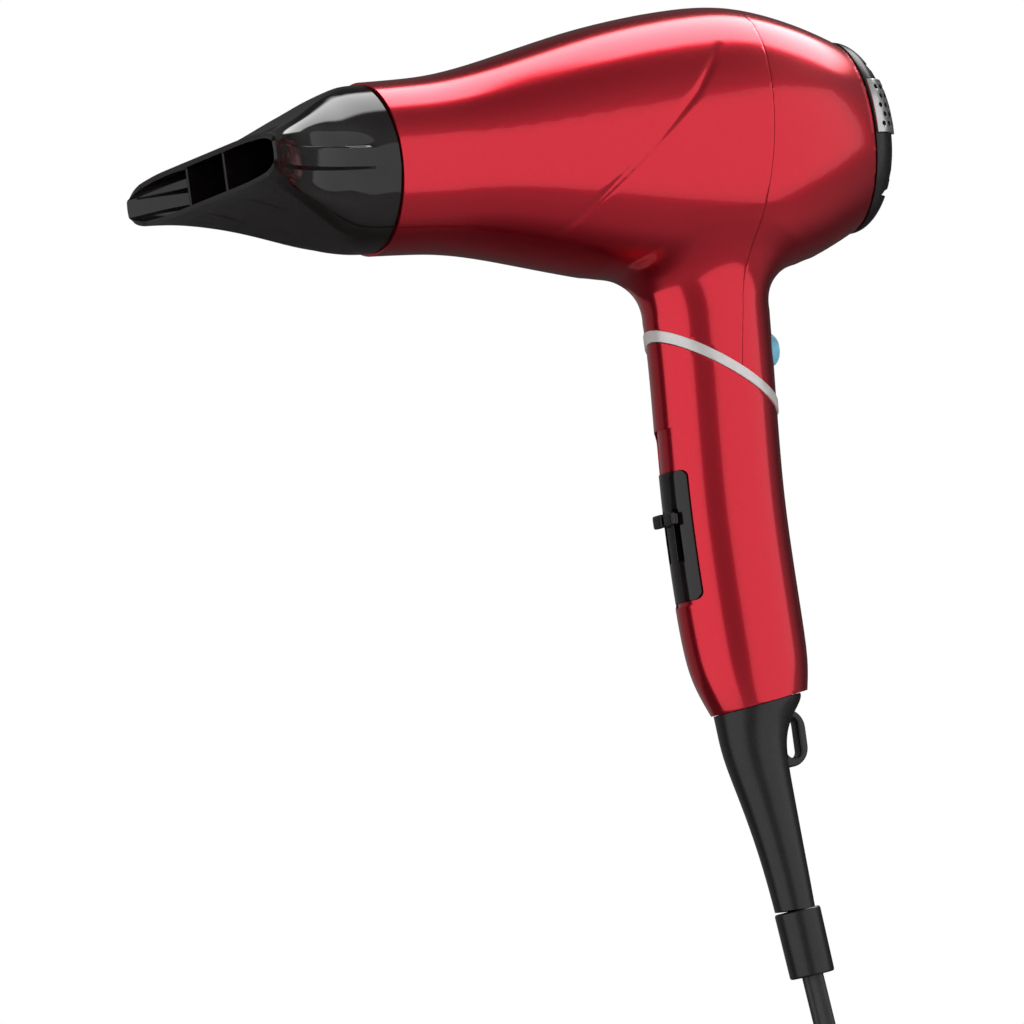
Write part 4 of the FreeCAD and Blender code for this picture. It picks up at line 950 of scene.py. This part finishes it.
# %% Nozzle outline at each station
# x, height of the flat face, half height of the round part, half width, squareness, where the flat face ends
NOZZLE = [
    (-158.0, 7.2, 7.9, 51.5, 3.4, 42.5),
    (-153.0, 7.7, 9.4, 43.6, 3.2, 36.5),
    (-148.0, 8.8, 11.5, 38.2, 3.0, 31.2),
    (-137.0, 13.0, 17.2, 31.5, 2.5, 23.0),
    (-126.0, 18.6, 22.4, 27.6, 2.2, 16.0),
    (-119.0, 22.2, 24.4, 25.9, 2.0, 12.6),
    (-112.0, 24.8, 25.0, 25.1, 2.0, 11.0),
    (-105.3, 25.2, 25.1, 25.1, 2.0, 10.0),
]
STATIONS = (-158, -156.5, -152, -146, -139, -132, -126, -121, -117, -113, -109, -105.3)
RIB_HALF, HOLLOW_FOOT = 2.8, 3.5
HOLLOW_START, HOLLOW_END, HOLLOW_DEPTH, HOLLOW_REACH = -157.0, -112.0, 3.4, 9.0


def between(rows, x):
    """The row for any x, straight between its neighbours."""
    for low, high in zip(rows, rows[1:]):
        if low[0] <= x <= high[0]:
            share = (x - low[0]) / (high[0] - low[0])
            return [a + (b - a) * share for a, b in zip(low, high)]
    return list(rows[-1] if x > rows[-1][0] else rows[0])


def quarter(x):
    """One quarter of the ring, from the flank to the top, as (y, z) without its two end points."""
    _, flat, round_high, wide, power, flat_end = between(NOZZLE, x)

    def flank_y(z):
        return wide * max(1 - (z / round_high) ** power, 0.0) ** (1 / power)

    def face_z(y):
        return min(flat, round_high * max(1 - (y / wide) ** power, 0.0) ** (1 / power))
    edge_z = face_z(flat_end)
    hollow = hollow_depth(x)
    points = [(flank_y(RIB_HALF), RIB_HALF), (flank_y(HOLLOW_FOOT) - hollow, HOLLOW_FOOT)]
    for share, depth in ((0.28, 0.75), (0.58, 0.3), (0.85, 0.0)):
        z = HOLLOW_FOOT + (edge_z - HOLLOW_FOOT) * share
        reach = hollow_reach(x)
        depth = depth * hollow if z < HOLLOW_FOOT + reach else 0.0
        points.append((flank_y(z) - depth, z))
    points.append((flat_end, edge_z))
    for share in (0.75, 0.5, 0.25):
        points.append((flat_end * share, face_z(flat_end * share)))
    return points, wide, face_z(0)


def along_hollow(x):
    """From 0 at the hollows' wide end near the mouth to 1 at their point."""
    return min(max((x - HOLLOW_START) / (HOLLOW_END - HOLLOW_START), 0.0), 1.0)


def hollow_depth(x):
    """How deep the leaf-shaped hollows are: most in the middle, none at the lip or at their point."""
    run = along_hollow(x)
    return HOLLOW_DEPTH * math.sin(math.pi * min(run * 1.9, 1.0) / 2) * (1 - run) ** 0.6


def hollow_reach(x):
    """How far up or down the flank the hollows spread."""
    run = along_hollow(x)
    return HOLLOW_REACH * (1 - run ** 1.6)


def ring_at(x):
    """The whole ring of (y, z) places, going round from the +Y flank over the top."""
    points, wide, high = quarter(x)
    loop = [(wide, 0.0)] + points + [(0.0, high)]
    loop += [(-y, z) for y, z in reversed(points)] + [(-wide, 0.0)]
    loop += [(-y, -z) for y, z in points] + [(0.0, -high)] + [(y, -z) for y, z in reversed(points)]
    return loop


# %% Grow the nozzle's cage


def lay_ring(piece, x, outline):
    """Moves the selected ring of vertices onto an outline, matching them in order round the axis."""
    mesh = bmesh.from_edit_mesh(piece.data)

    def turn(y, z):
        return (math.atan2(z, y) - 0.001) % (2 * math.pi)
    chosen = sorted((v for v in mesh.verts if v.select), key=lambda v: turn(v.co.y, v.co.z - AXIS_Z))
    places = sorted(outline, key=lambda place: turn(*place))
    for vertex, (y, z) in zip(chosen, places):
        vertex.co = (x * MM, y * MM, AXIS_Z + z * MM)
    bmesh.update_edit_mesh(piece.data)


ring_count = len(ring_at(STATIONS[0]))
start_clean()
bpy.ops.mesh.primitive_circle_add(vertices=ring_count, radius=30 * MM, location=(STATIONS[0] * MM, 0, AXIS_Z),
                                  rotation=(0, math.pi / 2, 0))
nozzle = named("nozzle_skin")
edit(nozzle)
lay_ring(nozzle, STATIONS[0], ring_at(STATIONS[0]))
for before, station in zip(STATIONS, STATIONS[1:]):
    bpy.ops.mesh.extrude_region_move(TRANSFORM_OT_translate={"value": ((station - before) * MM, 0, 0)})
    lay_ring(nozzle, station, ring_at(station))
bpy.ops.object.mode_set(mode="OBJECT")
print("nozzle cage", len(nozzle.data.vertices), "vertices in rings of", ring_count)

# %% Crease its edges and finish it
edit(nozzle, everything=False)
bpy.ops.mesh.select_mode(type="EDGE")
cage = bmesh.from_edit_mesh(nozzle.data)
crease = cage.edges.layers.float.get("crease_edge") or cage.edges.layers.float.new("crease_edge")
for edge in cage.edges:
    first, second = (vertex.co / MM for vertex in edge.verts)
    lengthwise = abs(first.x - second.x) > 1
    if not lengthwise:
        continue
    x = (first.x + second.x) / 2
    flat_end, edge_z = quarter(x)[0][5]
    middle = (first + second) / 2
    on_face_edge = abs(abs(middle.y) - flat_end) < 0.6 and abs(abs(middle.z - 107) - edge_z) < 0.6
    on_rib = abs(abs(middle.z - 107) - RIB_HALF) < 0.05 or abs(abs(middle.z - 107) - HOLLOW_FOOT) < 0.05
    if on_face_edge and x < -118:
        edge[crease] = 0.8
    elif on_rib and x < -113:
        edge[crease] = 0.7
bmesh.update_edit_mesh(nozzle.data)
bpy.ops.object.mode_set(mode="OBJECT")
outwards(nozzle)
apply_modifier(nozzle, "SUBSURF", levels=3, render_levels=3)
apply_modifier(nozzle, "SOLIDIFY", thickness=1.5 * MM, offset=-1)
soften(nozzle, 0.6, 3, 60)

# %% Vanes across the mouth and the spigot
VANE_SIDE = 12.6


def vane(side):
    """A thin upright vane whose front edge is rounded; it ends inside the duct's walls."""
    across = side * VANE_SIDE
    low, high = (-157.0, across - 0.6, 107 - 17), (-130.0, across + 0.6, 107 + 17)
    blade = rounded_box("vane", low, high, "Z", 0.5, 3)
    edit(blade)
    mesh = bmesh.from_edit_mesh(blade.data)
    for vertex in mesh.verts:
        x = vertex.co.x / MM
        reach = between(NOZZLE, x)[1] - 0.9
        vertex.co.z = AXIS_Z + math.copysign(reach, vertex.co.z - AXIS_Z) * MM
    bmesh.update_edit_mesh(blade.data)
    bpy.ops.object.mode_set(mode="OBJECT")
    return blade


SPIGOT_RINGS = [(-108.5, 24.0), (-105.6, 24.0), (-105.4, 22.9), (-95.6, 22.9), (-95.3, 22.4)]
spigot_rings = [((x * MM, 0, AXIS_Z), r * MM, r * MM) for x, r in SPIGOT_RINGS]
spigot = column("spigot", spigot_rings, "X", sides=96)
start_clean()
bpy.ops.mesh.primitive_cylinder_add(vertices=96, radius=21.3 * MM, depth=40 * MM,
                                    location=(-102 * MM, 0, AXIS_Z), rotation=(0, math.pi / 2, 0))
cut_with(spigot, named("spigot_bore"))
join(nozzle, spigot, vane(-1), vane(1))
smooth(nozzle, 40)
place_piece(nozzle, "nozzle", "black_gloss", "concentrator")

# %% [markdown]
# ## Cord boot, hanging loop and collar
# The boot is a soft rubbery moulding that plugs into the handle's foot and tapers down the lead. The loop on
# its back is a flat D with a tall eye for a hook. The boot is a column of oval rings, the loop is a rounded
# block with a smaller rounded block taken out, and the collar is a short cone with softened edges.

# %% Boot and loop
BOOT = [
    (-58.0, 2.6, 14.6, 11.4), (-62.4, 2.2, 14.3, 11.2), (-67.0, 0.3, 11.9, 9.9), (-73.0, -0.9, 10.4, 9.0),
    (-80.0, -0.5, 9.6, 8.4), (-91.0, 1.4, 8.4, 7.5), (-103.0, 3.2, 7.3, 6.7), (-115.0, 4.7, 6.6, 6.2),
    (-124.6, 5.6, 6.2, 5.9), (-127.0, 5.8, 6.1, 5.8),
]
LOOP_BACK, LOOP_TOP, LOOP_FOOT, LOOP_THICK = 16.6, -64.5, -82.0, 2.7
cord_boot = handle_column("cord_boot_skin", rows=BOOT, levels=3)
boot_foot = Vector((5.6, 0, -124.6)) * MM
for point, normal in ((FOOT_POINT - FOOT_WAY * 0.25 * MM, FOOT_WAY), (boot_foot, Vector((0, 0, -1)))):
    slice_off(cord_boot, point, normal)
edit(cord_boot, everything=False)
bpy.ops.mesh.select_non_manifold()
bpy.ops.mesh.edge_face_add()
bpy.ops.object.mode_set(mode="OBJECT")
hang_loop = rounded_box("hang_loop", (3, -2.3, LOOP_FOOT), (LOOP_BACK, 2.3, LOOP_TOP), "Y", 6, 10)
eye_low = (9.3, -8, LOOP_FOOT + LOOP_THICK)
eye_high = (LOOP_BACK - LOOP_THICK, 8, LOOP_TOP - LOOP_THICK)
eye = rounded_box("eye", eye_low, eye_high, "Y", 2, 6)
cut_with(hang_loop, eye)
soften(hang_loop, 0.7, 3, 50)
join(cord_boot, hang_loop)
smooth(cord_boot, 40)
place_piece(cord_boot, "case", "black_satin", "cord_boot")

# %% Collar
COLLAR_TILT = math.radians(6.3)
collar_way = Vector((math.sin(COLLAR_TILT), 0, -math.cos(COLLAR_TILT)))
collar_middle = Vector((6.3, 0, -124.7)) * MM + collar_way * 10 * MM
start_clean()
bpy.ops.mesh.primitive_cone_add(vertices=64, radius1=6.9 * MM, radius2=7.1 * MM, depth=20 * MM,
                                location=collar_middle, rotation=(0, -COLLAR_TILT, 0), scale=(1, 0.94, 1))
collar = named("cord_collar_skin")
soften(collar, 0.7, 3, 50)
smooth(collar, 40)
place_piece(collar, "case", "black_satin", "cord_collar")

# %% [markdown]
# ## Knobs and cool-shot button
# Each slide knob is a square cap on a thin stem that drops through its slot. Two small ridges give the
# thumb something to push. Both knobs are built the same way, one on each side. The cool-shot button is a
# turned
# shape: a plunger, a flange that stops it falling out, and a slightly dished cap.

# %% Knobs
KNOB_FACE, KNOB_FOOT, KNOB_WIDE, KNOB_HIGH, KNOB_Z = -21.45, -19.75, 2.6, 2.0, -4.6


def knob(name, side):
    middle = side * SLOT_SIDE
    head = rounded_box(name, (KNOB_FACE, middle - KNOB_WIDE, KNOB_Z - KNOB_HIGH),
                       (KNOB_FOOT, middle + KNOB_WIDE, KNOB_Z + KNOB_HIGH), "X", 0.7, 4)
    soften(head, 0.45, 3, 50)
    stem = rounded_box("stem", (KNOB_FOOT - 0.5, middle - 1.0, KNOB_Z - 1.7),
                       (KNOB_FOOT + 8.2, middle + 1.0, KNOB_Z + 1.7), "X", 0.4, 2)
    ridges = []
    for height in (-0.7, 0.7):
        z = KNOB_Z + height
        ridges.append(rounded_box("ridge", (KNOB_FACE - 0.2, middle - 1.8, z - 0.25),
                                  (KNOB_FACE + 0.4, middle + 1.8, z + 0.25), "Y", 0.18, 2))
    join(head, stem, *ridges)
    return smooth(head, 40)


place_piece(knob("speed_knob_skin", 1), "speed_slider", "black_gloss", "speed_knob")
place_piece(knob("heat_knob_skin", -1), "heat_slider", "black_gloss", "heat_knob")

# %% Cool-shot button
BUTTON_RINGS = [
    (14.8, 1.8), (17.3, 1.8), (17.35, 5.6), (17.5, 5.8), (18.2, 5.8), (18.4, 5.6), (18.45, 5.0), (23.2, 5.0),
    (23.9, 4.85), (24.3, 4.45), (24.5, 3.8), (24.35, 2.4), (24.25, 0.6),
]
button_rings = [((x * MM, 0, 44 * MM), r * MM, r * MM) for x, r in BUTTON_RINGS]
cool_button = smooth(column("cool_button_skin", button_rings, "X", sides=64), 30)
place_piece(cool_button, "cool_push", "sky_blue", "cool_button")

# %% [markdown]
# ## Air inlet
# A domed cap pulls off the back so that lint can be cleaned away. It has rows of louvres across its middle
# and, high on each side, a silver plate with small round holes that stands a little proud. Cap and plate
# start from the same ball, flattened to the stern's oval, so that they keep one curve.

# %% Dome and block
CAP_X, CAP_DEEP, CAP_HIGH, CAP_WIDE, CAP_WALL = 57.35, 13.0, 29.4, 22.9, 1.8


def dome(name, grow, from_x):
    """The part of a flattened ball behind a plane, open at the front."""
    size = Vector((CAP_DEEP + grow, CAP_WIDE + grow, CAP_HIGH + grow)) * MM
    start_clean()
    bpy.ops.mesh.primitive_uv_sphere_add(segments=96, ring_count=64, radius=1, scale=size,
                                         location=(CAP_X * MM, 0, AXIS_Z))
    return slice_off(named(name), Vector((from_x, 0, 0)) * MM, Vector((-1, 0, 0)))


def block(name, side, x_range, y_range, z_range):
    """A plain block on one side of the middle."""
    near, far = sorted((side * y_range[0], side * y_range[1]))
    low = Vector((x_range[0], near, z_range[0])) * MM
    high = Vector((x_range[1], far, z_range[1])) * MM
    start_clean()
    bpy.ops.mesh.primitive_cube_add(size=1, location=(low + high) / 2, scale=high - low)
    return named(name)


# %% Cap with its louvres and seats
LOUVRES, LOUVRE_PITCH, LOUVRE_HIGH = 9, 4.8, 2.4
SEAT_X, SEAT_Y, SEAT_FOOT, SEAT_TOP = 57.6, 15.8, 104.7, 121.7
inlet_cap = dome("inlet_cap_skin", 0.0, CAP_X)
apply_modifier(inlet_cap, "SOLIDIFY", thickness=CAP_WALL * MM, offset=-1)
slots = []
for index in range(LOUVRES):
    middle = 107 + (index - (LOUVRES - 1) / 2) * LOUVRE_PITCH
    for side in (-1, 1):
        z_range = (middle - LOUVRE_HIGH / 2, middle + LOUVRE_HIGH / 2)
        slots.append(block("slot", side, (60, 82), (1.6, 15.5), z_range))
cut_with(inlet_cap, join(*slots))
seats = [block("seat", side, (SEAT_X, 90), (SEAT_Y, 40), (SEAT_FOOT, SEAT_TOP)) for side in (-1, 1)]
seat_tool = join(*seats)
seat_floor = apply_modifier(dome("seat_floor", -0.7, 50.0), "SOLIDIFY", thickness=6 * MM, offset=-1)
cut_with(seat_tool, seat_floor)
cut_with(inlet_cap, seat_tool)
soften(inlet_cap, 0.25, 2, 50)
smooth(inlet_cap, 40)
place_piece(inlet_cap, "inlet", "black_satin", "inlet_cap")

# %% Silver plates with their holes
PLATE_PROUD, HOLE_RADIUS, HOLE_ROWS, HOLE_COLUMNS = 0.9, 0.8, 5, 3
inlet_plate = dome("inlet_insert_skin", PLATE_PROUD, SEAT_X + 0.1)
apply_modifier(inlet_plate, "SOLIDIFY", thickness=1.5 * MM, offset=-1)
zones = [block("zone", side, (SEAT_X + 0.1, 90), (SEAT_Y + 0.1, 40), (SEAT_FOOT + 0.1, SEAT_TOP - 0.1))
         for side in (-1, 1)]
cut_with(inlet_plate, join(*zones), keep_inside=True)
drills = []
for side in (-1, 1):
    for row in range(HOLE_ROWS):
        for place in range(HOLE_COLUMNS):
            spot = (60.4 + place * 2.5 + (row % 2) * 1.2, side * 20, 107.4 + row * 2.9)
            start_clean()
            bpy.ops.mesh.primitive_cylinder_add(vertices=20, radius=HOLE_RADIUS * MM, depth=16 * MM,
                                                location=Vector(spot) * MM, rotation=(math.pi / 2, 0, 0))
            drills.append(named("drill"))
cut_with(inlet_plate, join(*drills))
soften(inlet_plate, 0.15, 2, 50)
smooth(inlet_plate, 40)
place_piece(inlet_plate, "inlet", "silver_insert", "inlet_insert")

# %% [markdown]
# ## Floor
# The dryer is held in the air by its handle, so the floor is only a pale sheet below it. It is kept out of
# mirror reflections, or the underside of the barrel would turn pale.

# %% Floor
start_clean()
bpy.ops.mesh.primitive_plane_add(size=6, location=(0, 0, -0.47))
floor = named("floor")
paper_sheet = new_finish("floor_paper", (0.86, 0.86, 0.85), 0.8)
fine_bump(paper_sheet, 2.0, 0.1)
floor.data.materials.append(paper_sheet)
floor.visible_glossy = False
